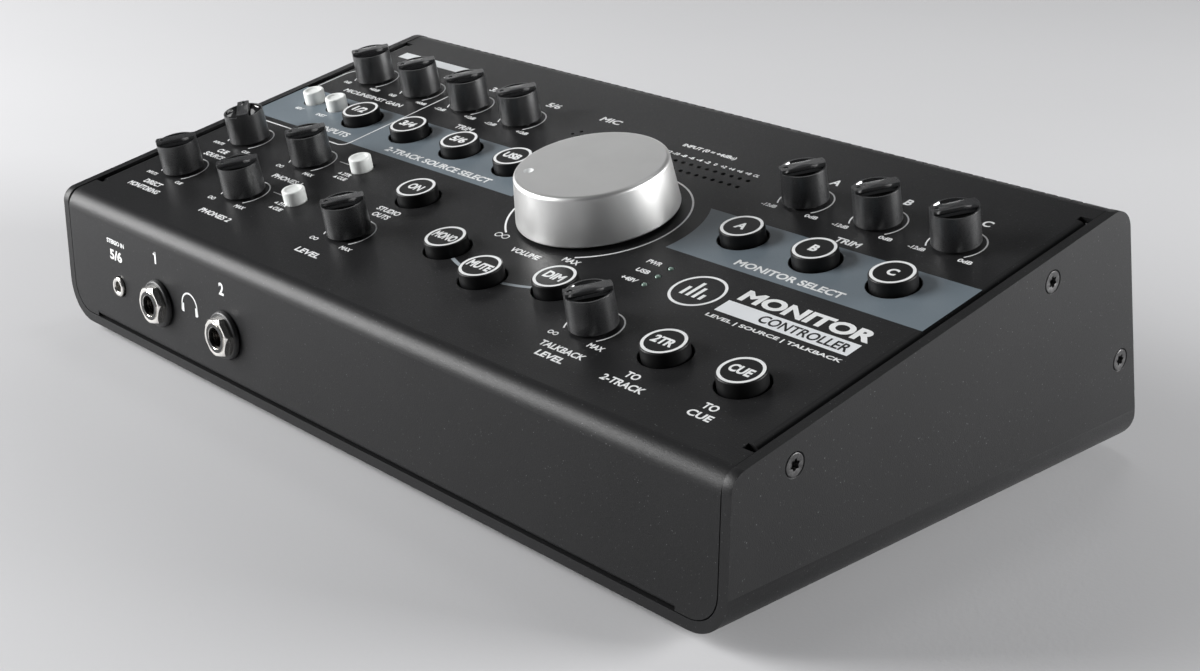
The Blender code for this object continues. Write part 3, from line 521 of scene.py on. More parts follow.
def ease(obj, width, segments=2, angle=35.0):
    """Round every sharp edge by a small amount."""
    modifier = obj.modifiers.new("ease", "BEVEL")
    modifier.width = width
    modifier.segments = segments
    modifier.limit_method = "ANGLE"
    modifier.angle_limit = math.radians(angle)
    modifier.use_clamp_overlap = True
    modifier.harden_normals = False
    return apply_modifiers(obj)


def tidy(obj, angle=30.0):
    bm = bmesh.new()
    bm.from_mesh(obj.data)
    bmesh.ops.remove_doubles(bm, verts=bm.verts, dist=1e-6)
    bmesh.ops.dissolve_degenerate(bm, dist=5e-7, edges=bm.edges)
    bm.to_mesh(obj.data)
    bm.free()
    obj.data.shade_smooth()
    obj.data.set_sharp_from_angle(angle=math.radians(angle))
    return obj


def level_normals(obj):
    """Let the large flat faces set the shading beside bends and eased edges."""
    modifier = obj.modifiers.new("level", "WEIGHTED_NORMAL")
    modifier.mode = "FACE_AREA"
    modifier.weight = 80
    modifier.keep_sharp = True
    return apply_modifiers(obj)


def flatten_walls(obj, *normals):
    """Shade the faces that lie along the given normals as true flats."""
    for face in obj.data.polygons:
        if max(abs(face.normal.dot(n)) for n in normals) > 0.99999:
            face.use_smooth = False


CASE_NORMALS = [
    Vector((0.0, -math.sin(SLOPE), math.cos(SLOPE))),
    Vector((0.0, math.cos(LEAN), math.sin(LEAN))),
    Vector((1.0, 0.0, 0.0)),
    Vector((0.0, 1.0, 0.0)),
    Vector((0.0, 0.0, 1.0)),
]


def settle(obj, slot, *nodes, body=None, angle=30.0, walls=None):
    """Tidy and shade the object, ride the body of the first node and stand for the nodes; the slot is not
    used.
    """
    tidy(obj, angle)
    if walls:
        flatten_walls(obj, *walls)
    else:
        level_normals(obj)
    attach(obj, body or NODES[nodes[0]]["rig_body"])
    if nodes:
        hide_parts(*nodes)
    return obj


def panel_place(node):
    """(u, v) of a control's axis in millimetres, read from its CAD node."""
    back = on_panel(0.0, 0.0).inverted()
    points = [back @ v.co for v in NODES[node].data.vertices]
    u = [p.x for p in points]
    v = [p.y for p in points]
    return ((min(u) + max(u)) / 2.0 / MM, (min(v) + max(v)) / 2.0 / MM)


def strip(outline, low, high):
    """Closed solid over a long folded-back outline, built from quads side by side."""
    count = len(outline) // 2
    left, right = outline[:count], outline[count:][::-1]
    verts = []
    for a, b in zip(left, right):
        verts += [(*a, low), (*b, low), (*b, high), (*a, high)]
    faces = [(0, 1, 2, 3), tuple(4 * (count - 1) + k for k in (3, 2, 1, 0))]
    for i in range(count - 1):
        p, q = 4 * i, 4 * (i + 1)
        for k in range(4):
            n = (k + 1) % 4
            faces.append((p + k, q + k, q + n, p + n))
    return Solid().add(verts, faces)


def ribbon(points, width, low, high, closed=False):
    """Line of even width through (a, b) points, as a closed solid."""
    count = len(points)
    left, right = [], []
    for i in range(count):
        here = Vector(points[i])
        before = Vector(points[i - 1]) if i or closed else here
        after = Vector(points[(i + 1) % count]) if i < count - 1 or closed else here
        d1 = (here - before).normalized() if (here - before).length else (after - here).normalized()
        d2 = (after - here).normalized() if (after - here).length else d1
        mid = (d1 + d2).normalized()
        side = Vector((-mid.y, mid.x)) * (width / 2.0 / max(0.4, mid.dot(d1)))
        left.append(tuple(here + side))
        right.append(tuple(here - side))
    if closed:
        left.append(left[0])
        right.append(right[0])
    return strip(left + right[::-1], low, high)


GLYPHS = {}


def thickened(vert, amount):
    """Vertex of an extruded letter moved out of the letter by the amount."""
    walls = [f.normal for f in vert.link_faces if abs(f.normal.z) < 0.5]
    out = sum(walls, Vector())
    if out.length < 1e-6:
        return tuple(vert.co)
    out.normalize()
    miter = max(0.55, max(out.dot(n) for n in walls))
    return tuple(vert.co + out * (amount / miter))


def glyphs(text, heavy):
    """Letters at the font's own size as a closed mesh, kept for reuse."""
    key = (text, heavy)
    if key not in GLYPHS:
        curve = bpy.data.curves.new("lettering", "FONT")
        curve.body = text
        curve.align_x = "CENTER"
        curve.resolution_u = 4
        curve.extrude = 0.01
        obj = bpy.data.objects.new("lettering", curve)
        bpy.context.scene.collection.objects.link(obj)
        bpy.context.view_layer.update()
        graph = bpy.context.evaluated_depsgraph_get()
        mesh = bpy.data.meshes.new_from_object(obj.evaluated_get(graph))
        bm = bmesh.new()
        bm.from_mesh(mesh)
        bmesh.ops.remove_doubles(bm, verts=bm.verts, dist=1e-5)
        bmesh.ops.recalc_face_normals(bm, faces=bm.faces)
        verts = [thickened(v, heavy) for v in bm.verts]
        faces = [[v.index for v in f.verts] for f in bm.faces]
        bm.free()
        bpy.data.objects.remove(obj, do_unlink=True)
        bpy.data.meshes.remove(mesh)
        xs, ys = [v[0] for v in verts], [v[1] for v in verts]
        GLYPHS[key] = (verts, faces, (min(xs), max(xs)), (min(ys), max(ys)))
    return GLYPHS[key]


def lettering(solid, text, place, height, width=None, frame=None, low=INK_LOW, heavy=0.030):
    """Add text centred on place; height and width in millimetres."""
    verts, faces, xs, ys = glyphs(text, heavy)
    fy = height * MM / (ys[1] - ys[0])
    fx = width * MM / (xs[1] - xs[0]) if width else fy
    mx, my = sum(xs) / 2.0, sum(ys) / 2.0
    done = []
    for x, y, z in verts:
        a = (x - mx) * fx + place[0] * MM
        b = (y - my) * fy + place[1] * MM
        done.append((a, b, low + (INK_T if z > 0.0 else 0.0)))
    return solid.add(done, faces, frame)


# --- case ---


def side_outline():
    """Wedge seen from the side, as (y, z) from the front plane and the tray."""
    corners = [
        (0.0, 0.0),
        (DEPTH, 0.0),
        (BACK_TOP_Y, BACK_HEIGHT, CHEEK_BACK_R),
        (0.0, FRONT_HEIGHT, CHEEK_FRONT_R),
    ]
    return rounded(corners, 14)


def world_from_side(outline):
    """Outline of (y, z) from the front plane and the tray, moved to world places."""
    return [(FRONT_Y + y, FOOT_H + z) for y, z in outline]


def tray_section():
    """U section seen from the front, as (x, z) in world places."""
    half, floor, top = WIDTH / 2.0, FOOT_H, FOOT_H + BACK_HEIGHT + 10.0 * MM
    inner, bend = half - TRAY_T, TRAY_BEND_R - TRAY_T
    outside = [(-half, top), (-half, floor, TRAY_BEND_R), (half, floor, TRAY_BEND_R), (half, top)]
    inside = [(inner, top), (inner, floor + TRAY_T, bend), (-inner, floor + TRAY_T, bend), (-inner, top)]
    return rounded(outside + inside, 16)


def screw_frames():
    return [on_side(side, y, z) for side in (-1, 1) for y, z in SCREWS_YZ]


def foot_place(name, z):
    """Frame over the middle of a foot, at height z."""
    low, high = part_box(name)
    return Matrix.Translation(((low.x + high.x) / 2.0, (low.y + high.y) / 2.0, z))


def build_tray():
    tray = make("base_tray_skin", Solid().prism(tray_section(), -REACH, REACH, XZ_FRAME), POWDER)
    wedge = Solid().prism(world_from_side(side_outline()), -REACH, REACH, YZ_FRAME)
    holes = Solid()
    sink, through = SCREW_HEAD_R + GAP, SCREW_R + GAP
    for frame in screw_frames():
        holes.lathe(flared(through, sink, -TRAY_T - MM, -(sink - through), 0.0, MM), 64, frame)
    for name in named("foot_"):
        holes.lathe(mm([(0, -1), (2, -1), (2, 4), (0, 4)]), 32, foot_place(name, FOOT_H))
    combine(tray, [("INTERSECT", wedge), ("DIFFERENCE", holes)])
    ease(tray, 0.22 * MM, 3, 40.0)
    settle(tray, "case_paint", "base_tray", angle=35.0, walls=CASE_NORMALS)


def shell_fold():
    """Closed (y, z) outline of the folded sheet: front wall, top and back wall."""
    low = TRAY_T + GAP
    lean = Vector((-math.sin(LEAN), math.cos(LEAN)))
    out = Vector((math.cos(LEAN), math.sin(LEAN)))
    normal = Vector((-math.sin(SLOPE), math.cos(SLOPE)))
    along = Vector((math.cos(SLOPE), math.sin(SLOPE)))

    def path(depth):
        """Outer fold line and its bends, moved inwards by depth."""
        top = Vector((0.0, FRONT_HEIGHT)) - normal * (SHELL_DROP + depth)
        back = Vector((DEPTH, 0.0)) - out * (GAP + depth)
        front_bend = top + along * ((depth - top.x) / along.x)
        across = along.x * lean.y - along.y * lean.x
        gap = back - top
        back_bend = top + along * ((gap.x * lean.y - gap.y * lean.x) / across)
        foot = back + lean * ((low - back.y) / lean.y)
        bends = [(*front_bend, FRONT_BEND_R - depth), (*back_bend, BACK_BEND_R - depth)]
        return [(depth, low), *bends, tuple(foot)]

    return rounded(path(0.0) + path(SHEET_T)[::-1], 12)


def flange_section(side):
    """Bend and flange at one edge of the top, as (x, h) in the panel's frame at u = middle."""
    edge, top = HALF_SHELL, -SHELL_DROP
    points = [
        (edge - FLANGE_R - FLANGE_LAP, top),
        (edge, top, FLANGE_R),
        (edge, -FLANGE_DROP),
        (edge - SHEET_T, -FLANGE_DROP),
        (edge - SHEET_T, top - SHEET_T, FLANGE_R - SHEET_T),
        (edge - FLANGE_R - FLANGE_LAP, top - SHEET_T),
    ]
    return [(side * x, h) for x, h in rounded(points)]


def side_flanges():
    """Bent-down edges of the top, and the strips inside the back wall's edges."""
    solid = Solid()
    wall = on_back(MIDDLE, 0.0)
    for side in (-1, 1):
        run = on_panel(MIDDLE, 0.0) @ XZ_FRAME
        solid.prism(flange_section(side), -FLANGE_V[1], -FLANGE_V[0], run)
        low_x, high_x = sorted((side * HALF_SHELL, side * (HALF_SHELL - SHEET_T)))
        solid.box((low_x, 16 * MM, -12 * MM), (high_x, 58 * MM, -GAP - SHEET_T / 2.0), wall)
    return solid


def front_flange():
    """Lower lip of the front wall, turned inwards just above the tray."""
    low = TRAY_T + GAP
    high = low + FRONT_FLANGE_R + 2 * MM
    points = [
        (0.0, high),
        (0.0, low, FRONT_FLANGE_R),
        (FRONT_FLANGE_DEPTH, low),
        (FRONT_FLANGE_DEPTH, low + SHEET_T),
        (SHEET_T, low + SHEET_T, FRONT_FLANGE_R - SHEET_T),
        (SHEET_T, high),
    ]
    return Solid().prism(world_from_side(rounded(points)), *FRONT_LIP_X, YZ_FRAME)


def shell_trims():
    """Cutters for side strips, lower corners and the front lip's place."""
    solid = Solid()
    edge, low = HALF_SHELL, TRAY_T + GAP
    top = on_panel(MIDDLE, 0.0)
    radius = TRAY_BEND_R - TRAY_T - GAP
    turns = [math.radians(90.0 * k / 6) for k in range(1, 6)]
    bend = [(edge - radius + radius * math.cos(a), low + radius - radius * math.sin(a)) for a in turns]
    above = [(edge + MM, low - MM), (edge + MM, low + radius), (edge, low + radius)]
    corner = [*above, *bend, (edge - radius, low), (edge - radius, low - MM)]
    for side in (-1, 1):
        low_x, high_x = sorted((side * (edge - FLANGE_R - FLANGE_LAP / 2.0), side * (edge + MM)))
        solid.box((low_x, FLANGE_V[0] - NOTCH, -4 * MM), (high_x, FLANGE_V[1] + NOTCH, 2 * MM), top)
        solid.prism([(side * x, FOOT_H + z) for x, z in corner], -REACH, REACH, XZ_FRAME)
    lip = case_point(0.0, 0.0, 0.0)
    x0, x1 = FRONT_LIP_X
    solid.box((x0, lip.y - MM, lip.z), (x1, lip.y + 3 * MM, lip.z + low + FRONT_FLANGE_R))
    return solid


def vent_cuts():
    """Slots that wrap the rear bend, in one row across the case."""
    solid = Solid()
    slope_end = math.hypot(BACK_TOP_Y, BACK_HEIGHT - FRONT_HEIGHT)
    wall_end = math.hypot(DEPTH - BACK_TOP_Y, BACK_HEIGHT)
    wall = on_back(0.0, 0.0)
    clear = 3.0 * MM
    marks = [
        (PANEL, slope_end - VENT_ON_TOP, clear),
        (PANEL, slope_end - VENT_ON_TOP, -clear),
        (PANEL, slope_end - BACK_BEND_R, -clear),
        (wall, wall_end - BACK_BEND_R, -clear),
        (wall, wall_end - VENT_ON_BACK, -clear),
        (wall, wall_end - VENT_ON_BACK, clear),
        (wall, wall_end, clear),
    ]
    places = [place @ Vector((0, along, h)) for place, along, h in marks]
    places[-1] += Vector((0, 0, clear))
    outline = [(p.y, p.z) for p in places]
    first = -VENT_PITCH * (VENT_COUNT - 1) / 2.0
    for k in range(VENT_COUNT):
        x = first + VENT_PITCH * k
        solid.prism(outline, x - VENT_W / 2.0, x + VENT_W / 2.0, YZ_FRAME)
    return solid


def meter_places():
    steps = range(METER_COUNT)
    return [(METER_LAST_U - METER_PITCH * k, v) for v in METER_ROWS_V for k in steps]


def panel_cuts():
    """Every round hole of the sloping panel; the rims flare and run out through its surface."""
    solid = Solid()
    turns = [math.radians(80.0 * k / 4) for k in range(5)]

    def drill(places, radius, segments, edge=0.1 * MM):
        curve = [
            (radius + edge * (1.0 - math.cos(a)), -SHELL_DROP - edge * (1.0 - math.sin(a))) for a in turns
        ]
        rim = radius + 1.3 * edge
        flare = [*curve, (rim, -SHELL_DROP + 0.08 * edge), (rim, DRILL_HIGH)]
        profile = [(0.0, DRILL_LOW), (radius, DRILL_LOW), *flare, (0.0, DRILL_HIGH)]
        for u, v in places:
            solid.lathe(profile, segments, on_panel(u, v))

    drill([panel_place(n) for n in SMALL_KNOBS], STEM_R + 0.6 * MM, 24)
    drill([panel_place("volume_pot")], 5.2 * MM, 48)
    drill([panel_place(n) for n in BUTTON_WORDS], BUTTON_HOLE_R, 96, HOLE_EASE)
    drill([panel_place(n) for n in SMALL_BUTTONS], SMALL_HOLE_R, 64, HOLE_EASE)
    drill(STATUS_LAMPS, STATUS_R, 32, 0.12 * MM)
    drill(meter_places(), METER_R, 24, 0.12 * MM)
    drill(MIC_HOLES, MIC_R, 24, 0.10 * MM)
    return solid


def wall_cuts():
    """Socket and switch holes of the front and back walls, and the screw holes."""
    solid = Solid()
    round_holes = [(on_front(x, SOCKET_Z), BUSH_R + GAP, 64) for x in PHONES_X]
    round_holes.append((on_front(AUX_PLACE[0], AUX_PLACE[1] * MM), AUX_R + GAP, 64))
    round_holes += [(on_back(*place), COMBO_R + GAP, 96) for place in COMBO_PLACES]
    rows = [(x, s) for s in LINE_ROWS_S.values() for x in LINE_X]
    round_holes += [(on_back(x, s), BUSH_R + 2 * GAP, 64) for x, s in rows]
    for place, radius, segments in round_holes:
        solid.cylinder(radius, DRILL_LOW, DRILL_HIGH, segments, place)
    square_holes = ((USB_PLACE, (12.6, 11.6)), (INLET_PLACE, (9.6, 11.6)), (ROCKER_PLACE, (13.6, 19.6)))
    for place, (width, height) in square_holes:
        hole = block(width, height, DRILL_LOW, DRILL_HIGH)
        solid.add(hole.verts, hole.faces, on_back(*place))
    for frame in screw_frames():
        solid.cylinder(SCREW_R + GAP, -7 * MM, -3.1 * MM, 24, frame)
    return solid


def build_shell():
    fold = world_from_side(shell_fold())
    shell = make("top_shell_skin", Solid().prism(fold, -HALF_SHELL, HALF_SHELL, YZ_FRAME), POWDER)
    steps = [
        ("DIFFERENCE", shell_trims()),
        ("UNION", side_flanges()),
        ("UNION", front_flange()),
        ("DIFFERENCE", wall_cuts()),
        ("DIFFERENCE", vent_cuts()),
        ("DIFFERENCE", panel_cuts()),
    ]
    combine(shell, steps)
    settle(shell, "case_paint", "top_shell", angle=30.0, walls=CASE_NORMALS)


# --- controls ---
def knob_side(radius, half_bar, side):
    """Round edge of a small knob on one side of its finger bar."""
    limit = math.asin(half_bar / radius)
    arc = [limit + (math.pi - 2.0 * limit) * k / 40 for k in range(41)]
    return [(radius * math.cos(a), side * radius * math.sin(a)) for a in arc]


def bar_sides(radius, half_bar):
    """Two D-shaped cutters that leave the knob's finger bar between them."""
    solid = Solid()
    for side in (-1, 1):
        solid.prism(knob_side(radius, half_bar, side), KNOB_RIM_H, KNOB_BAR_H + MM)
    return solid


def scoop_tool(side, half_bar, radius, rings=16):
    """Cutter that leaves a hollow with a curved floor on one side of the finger bar."""
    rim = knob_side(radius, half_bar, side)[::side]
    middle = side * (half_bar + radius) / 2.0
    verts = [(x, y, KNOB_BAR_H + MM) for x, y in rim]
    for level in range(rings + 1):
        share = 1.0 - 0.97 * level / rings
        height = KNOB_RIM_H + 0.02 * MM - KNOB_SCOOP * (1.0 - 0.3 * share**2 - 0.7 * share**14)
        verts += [(x * share, middle + (y - middle) * share, height) for x, y in rim]
    count = len(rim)
    faces = [tuple(range(count)), tuple(reversed(range(len(verts) - count, len(verts))))]
    for level in range(rings + 1):
        low = level * count
        for k in range(count):
            step = (k + 1) % count
            faces.append((low + step, low + k, low + count + k, low + count + step))
    return Solid().add(verts, faces)


def knob_master():
    """One small knob at the origin: satin body, polished scoops, white dot in its dimple."""
    profile = [
        (0.0, STEM_END_H),
        (STEM_R, STEM_END_H),
        (STEM_R, KNOB_GAP),
        (KNOB_BASE_R, KNOB_GAP),
        (KNOB_TOP_R, KNOB_BAR_H),
        (0.0, KNOB_BAR_H),
    ]
    knob = make("knob_master", Solid().lathe(profile, 96), [SATIN, POLISHED, WHITE_INK_AND_HIGHLIGHT])
    half_bar, inner = KNOB_BAR_W / 2.0, KNOB_TOP_R - KNOB_WALL
    at = Matrix.Translation((-KNOB_DOT_AT, 0, 0))
    dot = Solid().cylinder(KNOB_DOT_R, KNOB_BAR_H - 0.45 * MM, KNOB_BAR_H + MM, 24, at)
    steps = [bar_sides(KNOB_TOP_R + MM, half_bar), dot]
    steps += [scoop_tool(side, half_bar + 0.03 * MM, inner) for side in (-1, 1)]
    combine(knob, [("DIFFERENCE", step) for step in steps])
    ease(knob, 0.12 * MM, 2, 40.0)
    for face in knob.data.polygons:
        c = face.center
        if abs(c.y) > half_bar and math.hypot(c.x, c.y) < inner and c.z < KNOB_RIM_H - 0.05 * MM:
            face.material_index = 1
        in_dimple = math.hypot(c.x + KNOB_DOT_AT, c.y) < KNOB_DOT_R - 0.02 * MM
        if in_dimple and face.normal.z > 0.95 and c.z < KNOB_BAR_H - 0.3 * MM:
            face.material_index = 2
    return knob


def build_knobs():
    master = knob_master()
    for node in SMALL_KNOBS:
        turn = CUE_SOURCE_TURN if node == "cue_source_knob" else KNOB_TURN
        mesh = master.data.copy()
        mesh.transform(on_panel(*panel_place(node), turn))
        knob = bpy.data.objects.new(f"{node}_cap", mesh)
        bpy.context.scene.collection.objects.link(knob)
        settle(knob, "knob_plastic", node, angle=40.0)
    bpy.data.objects.remove(master, do_unlink=True)


def build_big_knob():
    corners = [
        (0.0, STEM_END_H),
        (STEM_R, STEM_END_H),
        (STEM_R, BIG_WELL_TOP),
        (BIG_WELL_R, BIG_WELL_TOP),
        (BIG_WELL_R, BIG_GAP),
        (BIG_BASE_R, BIG_GAP, 0.5 * MM, 5),
        (BIG_TOP_R, BIG_TOP_H, BIG_CHAMFER, 9),
        (0.0, BIG_TOP_H),
    ]
    place = on_panel(*panel_place("volume_pot"))
    knob = make("volume_knob_cap", Solid().lathe(rounded(corners), 192), [SILVER, WHITE_INK_AND_HIGHLIGHT], place)
    angle = math.radians(BIG_DIMPLE_TURN)
    centre = (BIG_DIMPLE_AT * math.cos(angle), BIG_DIMPLE_AT * math.sin(angle), BIG_TOP_H)
    cup = [(0.0, -BIG_DIMPLE_DEEP)]
    for k in range(1, 9):
        cup.append((BIG_DIMPLE_R * (k / 8.0), -BIG_DIMPLE_DEEP * math.cos(k / 8.0 * math.pi / 2.0)))
    cup += [(BIG_DIMPLE_R, MM), (0.0, MM)]
    combine(knob, [("DIFFERENCE", Solid().lathe(cup, 32, Matrix.Translation(centre)))], place)
    back = place.inverted()
    # Painted highlight: the dimple's faces take white ink for the bright glint in the cup.
    for face in knob.data.polygons:
        c = back @ face.center
        in_dimple = math.hypot(c.x - centre[0], c.y - centre[1]) < BIG_DIMPLE_R - 0.05 * MM
        if in_dimple and BIG_TOP_H - 5.5 * MM < c.z < BIG_TOP_H - 0.01 * MM:
            face.material_index = 1
    settle(knob, "satin_aluminium", "volume_knob", angle=25.0)


BUTTON_WORDS = {
    "source_button_1_2": "1/2",
    "source_button_3_4": "3/4",
    "source_button_5_6": "5/6",
    "source_button_computer": "USB",
    "monitor_button_a": "A",
    "monitor_button_b": "B",
    "monitor_button_c": "C",
    "studio_on_button": "ON",
    "mono_button": "MONO",
    "mute_button": "MUTE",
    "dim_button": "DIM",
    "talk_two_track_button": "2TR",
    "talk_cue_button": "CUE",
}
BUTTON_WORD_W = {
    "MONO": 8.9, "MUTE": 8.9, "DIM": 6.9, "CUE": 7.1, "2TR": 7.1,
    "USB": 7.1, "ON": 5.7, "1/2": 6.0, "3/4": 6.6, "5/6": 6.6,
}


def cap_profile(radius, *top):
    """Lathe profile of a cap on its plunger, with its top given as corners."""
    return rounded([
        (0.0, PLUNGER_END_H),
        (PLUNGER_R, PLUNGER_END_H),
        (PLUNGER_R, BUTTON_SKIRT_H),
        (radius, BUTTON_SKIRT_H),
        *top,
    ])


def build_buttons():
    large = cap_profile(BUTTON_R, (BUTTON_R, BUTTON_TOP_H, 0.4 * MM, 6), (0.0, BUTTON_TOP_H))
    low, high = BUTTON_TOP_H - 0.02 * MM, BUTTON_TOP_H + 0.03 * MM
    for node, word in BUTTON_WORDS.items():
        marks = ribbon(circle(BUTTON_RING_R, 96), BUTTON_RING_W, low, high, closed=True)
        lettering(marks, word, (0.0, 0.0), 3.4, BUTTON_WORD_W.get(word), None, low, 0.042)
        layers = [(Solid().lathe(large, 96), CAP), (marks, WHITE_INK_AND_HIGHLIGHT)]
        settle(layered(f"{node}_cap", layers, on_panel(*panel_place(node))), "button_plastic", node)
    small = cap_profile(
        SMALL_R,
        (SMALL_R, SMALL_TOP_H, 0.45 * MM, 6),
        (SMALL_R - 0.9 * MM, SMALL_TOP_H, 0.25 * MM, 3),
        (SMALL_R - 1.5 * MM, SMALL_TOP_H - 0.40 * MM, 0.3 * MM, 3),
        (0.0, SMALL_TOP_H - 0.55 * MM),
    )
    for node in SMALL_BUTTONS:
        cap = make(f"{node}_cap", Solid().lathe(small, 64), PALE, on_panel(*panel_place(node)))
        settle(cap, "light_plastic", node, angle=50.0)


# --- panel print ---


def around(centre, radius, start, end, steps=40):
    """Arc points in millimetres."""
    angles = [math.radians(start + (end - start) * k / steps) for k in range(steps + 1)]
    return [(centre[0] + radius * math.cos(a), centre[1] + radius * math.sin(a)) for a in angles]


def add_ribbon(solid, points, width, closed=False, low=INK_LOW):
    line = ribbon(mm(points), width * MM, low, low + INK_T, closed)
    return solid.add(line.verts, line.faces)


def add_bar(solid, low, high, thick=INK_T):
    """Flat printed rectangle between two (u, v) corners in millimetres."""
    (a, b), (c, d) = mm([low, high])
    return solid.box((a, b, INK_LOW), (c, d, INK_LOW + thick))


def printed(name, solid, skin, frame, cuts=None):
    """Print or lenses that ride on the case, with any holes cut out."""
    obj = make(name, solid, skin, frame)
    if cuts:
        combine(obj, [("DIFFERENCE", cuts)], frame)
    tidy(obj)
    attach(obj, "enclosure")
    return obj


PANEL_WORDS = [
    # text, (u, v), height, width
    ("MONITOR SELECT", (248.8, 76.9), 2.9, 37.0),
    ("2-TRACK SOURCE SELECT", (102.2, 77.0), 2.9, 51.5),
    ("INPUTS", (48.0, 77.0), 2.9, 14.5),
    ("MIC", (128.8, 128.0), 2.9, 8.7),
    ("A", (222.4, 127.6), 3.2, None),
    ("B", (248.4, 127.6), 3.2, None),
    ("C", (274.6, 127.6), 3.2, None),
    ("3/4", (72.8, 127.8), 3.0, 6.2),
    ("5/6", (101.8, 127.8), 3.0, 6.2),
    ("1", (22.1, 127.9), 3.2, None),
    ("2", (46.1, 128.2), 3.2, None),
    ("TRIM", (249.0, 100.6), 2.6, 8.4),
    ("TRIM", (87.5, 100.6), 2.6, 8.4),
    ("MIC/LINE/INST GAIN", (35.7, 102.4), 2.2, 32.0),
    ("INPUT (0 = +4dBu)", (174.2, 125.6), 2.3, 21.8),
    ("VOLUME", (174.8, 50.0), 2.3, 11.8),
    ("MAX", (190.0, 53.6), 2.2, 6.2),
    ("MAX", (230.8, 24.2), 2.0, 5.4),
    ("TALKBACK", (224.2, 18.6), 2.4, 16.2),
    ("LEVEL", (224.0, 14.6), 2.4, 10.0),
    ("TO", (249.0, 19.4), 2.6, 4.6),
    ("2-TRACK", (249.5, 15.4), 2.6, 14.4),
    ("TO", (275.2, 19.4), 2.6, 4.6),
    ("CUE", (275.4, 15.4), 2.6, 7.6),
    ("PWR", (211.2, 65.0), 1.9, 5.2),
    ("USB", (211.7, 60.0), 1.9, 4.8),
    ("+48V", (211.6, 54.8), 1.9, 5.8),
    ("STUDIO", (115.6, 47.2), 2.3, 10.4),
    ("OUTS", (116.0, 43.8), 2.3, 7.6),
    ("LEVEL", (116.1, 16.6), 2.4, 11.2),
    ("CUE", (25.0, 47.0), 2.3, 5.4),
    ("SOURCE", (25.0, 43.4), 2.3, 10.6),
    ("DIRECT", (25.0, 19.6), 2.3, 9.6),
    ("MONITORING", (25.0, 16.0), 2.3, 17.5),
    ("PHONES 1", (65.8, 44.6), 2.3, 15.0),
    ("PHONES 2", (66.5, 16.6), 2.3, 16.5),
    ("48V", (18.0, 83.4), 1.7, 4.2),
    ("INST", (31.0, 83.4), 1.7, 4.8),
    ("2TR", (81.2, 57.0), 1.7, 4.2),
    ("CUE", (82.0, 54.4), 1.7, 4.2),
    ("2TR", (80.6, 32.6), 1.7, 4.2),
    ("CUE", (81.7, 29.7), 1.7, 4.2),
    ("INPUTS", (17.0, 50.6), 1.5, 5.6),
    ("CUE", (33.0, 50.6), 1.5, 3.6),
    ("INPUTS", (17.0, 24.2), 1.5, 5.6),
    ("CUE", (33.2, 24.2), 1.5, 3.6),
]
SOURCE_MARKS = [(77.9, 56.9), (78.7, 54.3), (77.3, 32.5), (78.4, 29.6)]
ARC_KNOBS = {
    "gain_knob_1": ("0dB", "+60dB"),
    "gain_knob_2": ("0dB", "+60dB"),
    "trim_knob_line_3_4": ("-12dB", "+12dB"),
    "trim_knob_line_5_6": ("-12dB", "+12dB"),
    "trim_knob_a": ("-12dB", "0dB"),
    "trim_knob_b": ("-12dB", "0dB"),
    "trim_knob_c": ("-12dB", "0dB"),
    "cue_source_knob": (None, None),
    "phones_knob_1": ("inf", "MAX"),
    "phones_knob_2": ("inf", "MAX"),
    "direct_mix_knob": (None, None),
    "studio_level_knob": ("inf", "MAX"),
    "talkback_knob": ("inf", "MAX"),
}
HIGH_WORD_V = 30.0  # the knobs nearer the front have no upper word from this table
HIGH_WORD_W = {"MAX": 4.9, "0dB": 4.4, "+12dB": 5.4, "+60dB": 5.4}
FRONT_WORDS = [
    # text, (x, z), height, width
    ("1", (56.6, 33.0), 3.9, None),
    ("2", (93.9, 32.6), 3.9, None),
    ("5/6", (31.9, 27.6), 3.5, 7.4),
    ("STEREO IN", (32.1, 31.9), 1.5, 10.6),
]
HEADPHONES_AT = (75.15, 21.6)


def add_infinity(solid, place, size):
    """Looped sign for silence, drawn as one closed line."""
    points = []
    for k in range(48):
        t = 2.0 * math.pi * k / 48
        d = 1.0 + math.sin(t) ** 2
        across = place[0] + size * math.cos(t) / d
        up = place[1] + size * 1.15 * math.sin(t) * math.cos(t) / d
        points.append((across, up))
    return add_ribbon(solid, points, 0.34, closed=True)


def add_source_marks(solid):
    """Small triangles that stand for the raised and pressed button."""
    for u, v in SOURCE_MARKS:
        corners = [(u - 0.75, v - 0.6), (u + 0.75, v - 0.6), (u, v + 0.8)]
        solid.prism(mm(corners), INK_LOW, INK_LOW + INK_T)


def build_scales(solid):
    """Arc and end words of every small knob that has them."""
    for node, (low_word, high_word) in ARC_KNOBS.items():
        u, v = panel_place(node)
        add_ribbon(solid, around((u, v), 8.02, 217.0, -40.0, 56), 0.45)
        if low_word == "inf":
            add_infinity(solid, (u - 7.0, v - 8.0), 1.6)
        elif low_word:
            lettering(solid, low_word, (u - 7.6, v - 7.0), 1.7, 5.4 if len(low_word) > 3 else 3.6)
        if high_word and v > HIGH_WORD_V and node != "talkback_knob":
            drop = 7.4 if high_word == "MAX" else 6.9
            lettering(solid, high_word, (u + 7.9, v - drop), 1.7, HIGH_WORD_W[high_word])


def build_meter_print(solid):
    numbers = ("OL", "+8", "+6", "+4", "+2", "0", "-2", "-4", "-6", "-8", "-10", "-12")
    for k, word in enumerate(numbers):
        u = METER_LAST_U - METER_PITCH * k
        lettering(solid, word, (u, 119.9), 1.5, 1.1 * len(word) if len(word) < 3 else 2.7)


def build_emblem(solid, centre=(232.6, 59.5)):
    """Plain ring with level bars."""
    add_ribbon(solid, around(centre, 7.6, 0.0, 360.0 * 95 / 96, 95), 0.8, closed=True)
    low = centre[1] - 3.3
    for k, height in enumerate((4.2, 7.4, 5.4, 2.6)):
        u = centre[0] - 3.3 + 2.2 * k
        add_bar(solid, (u - 0.55, low), (u + 0.55, low + height))


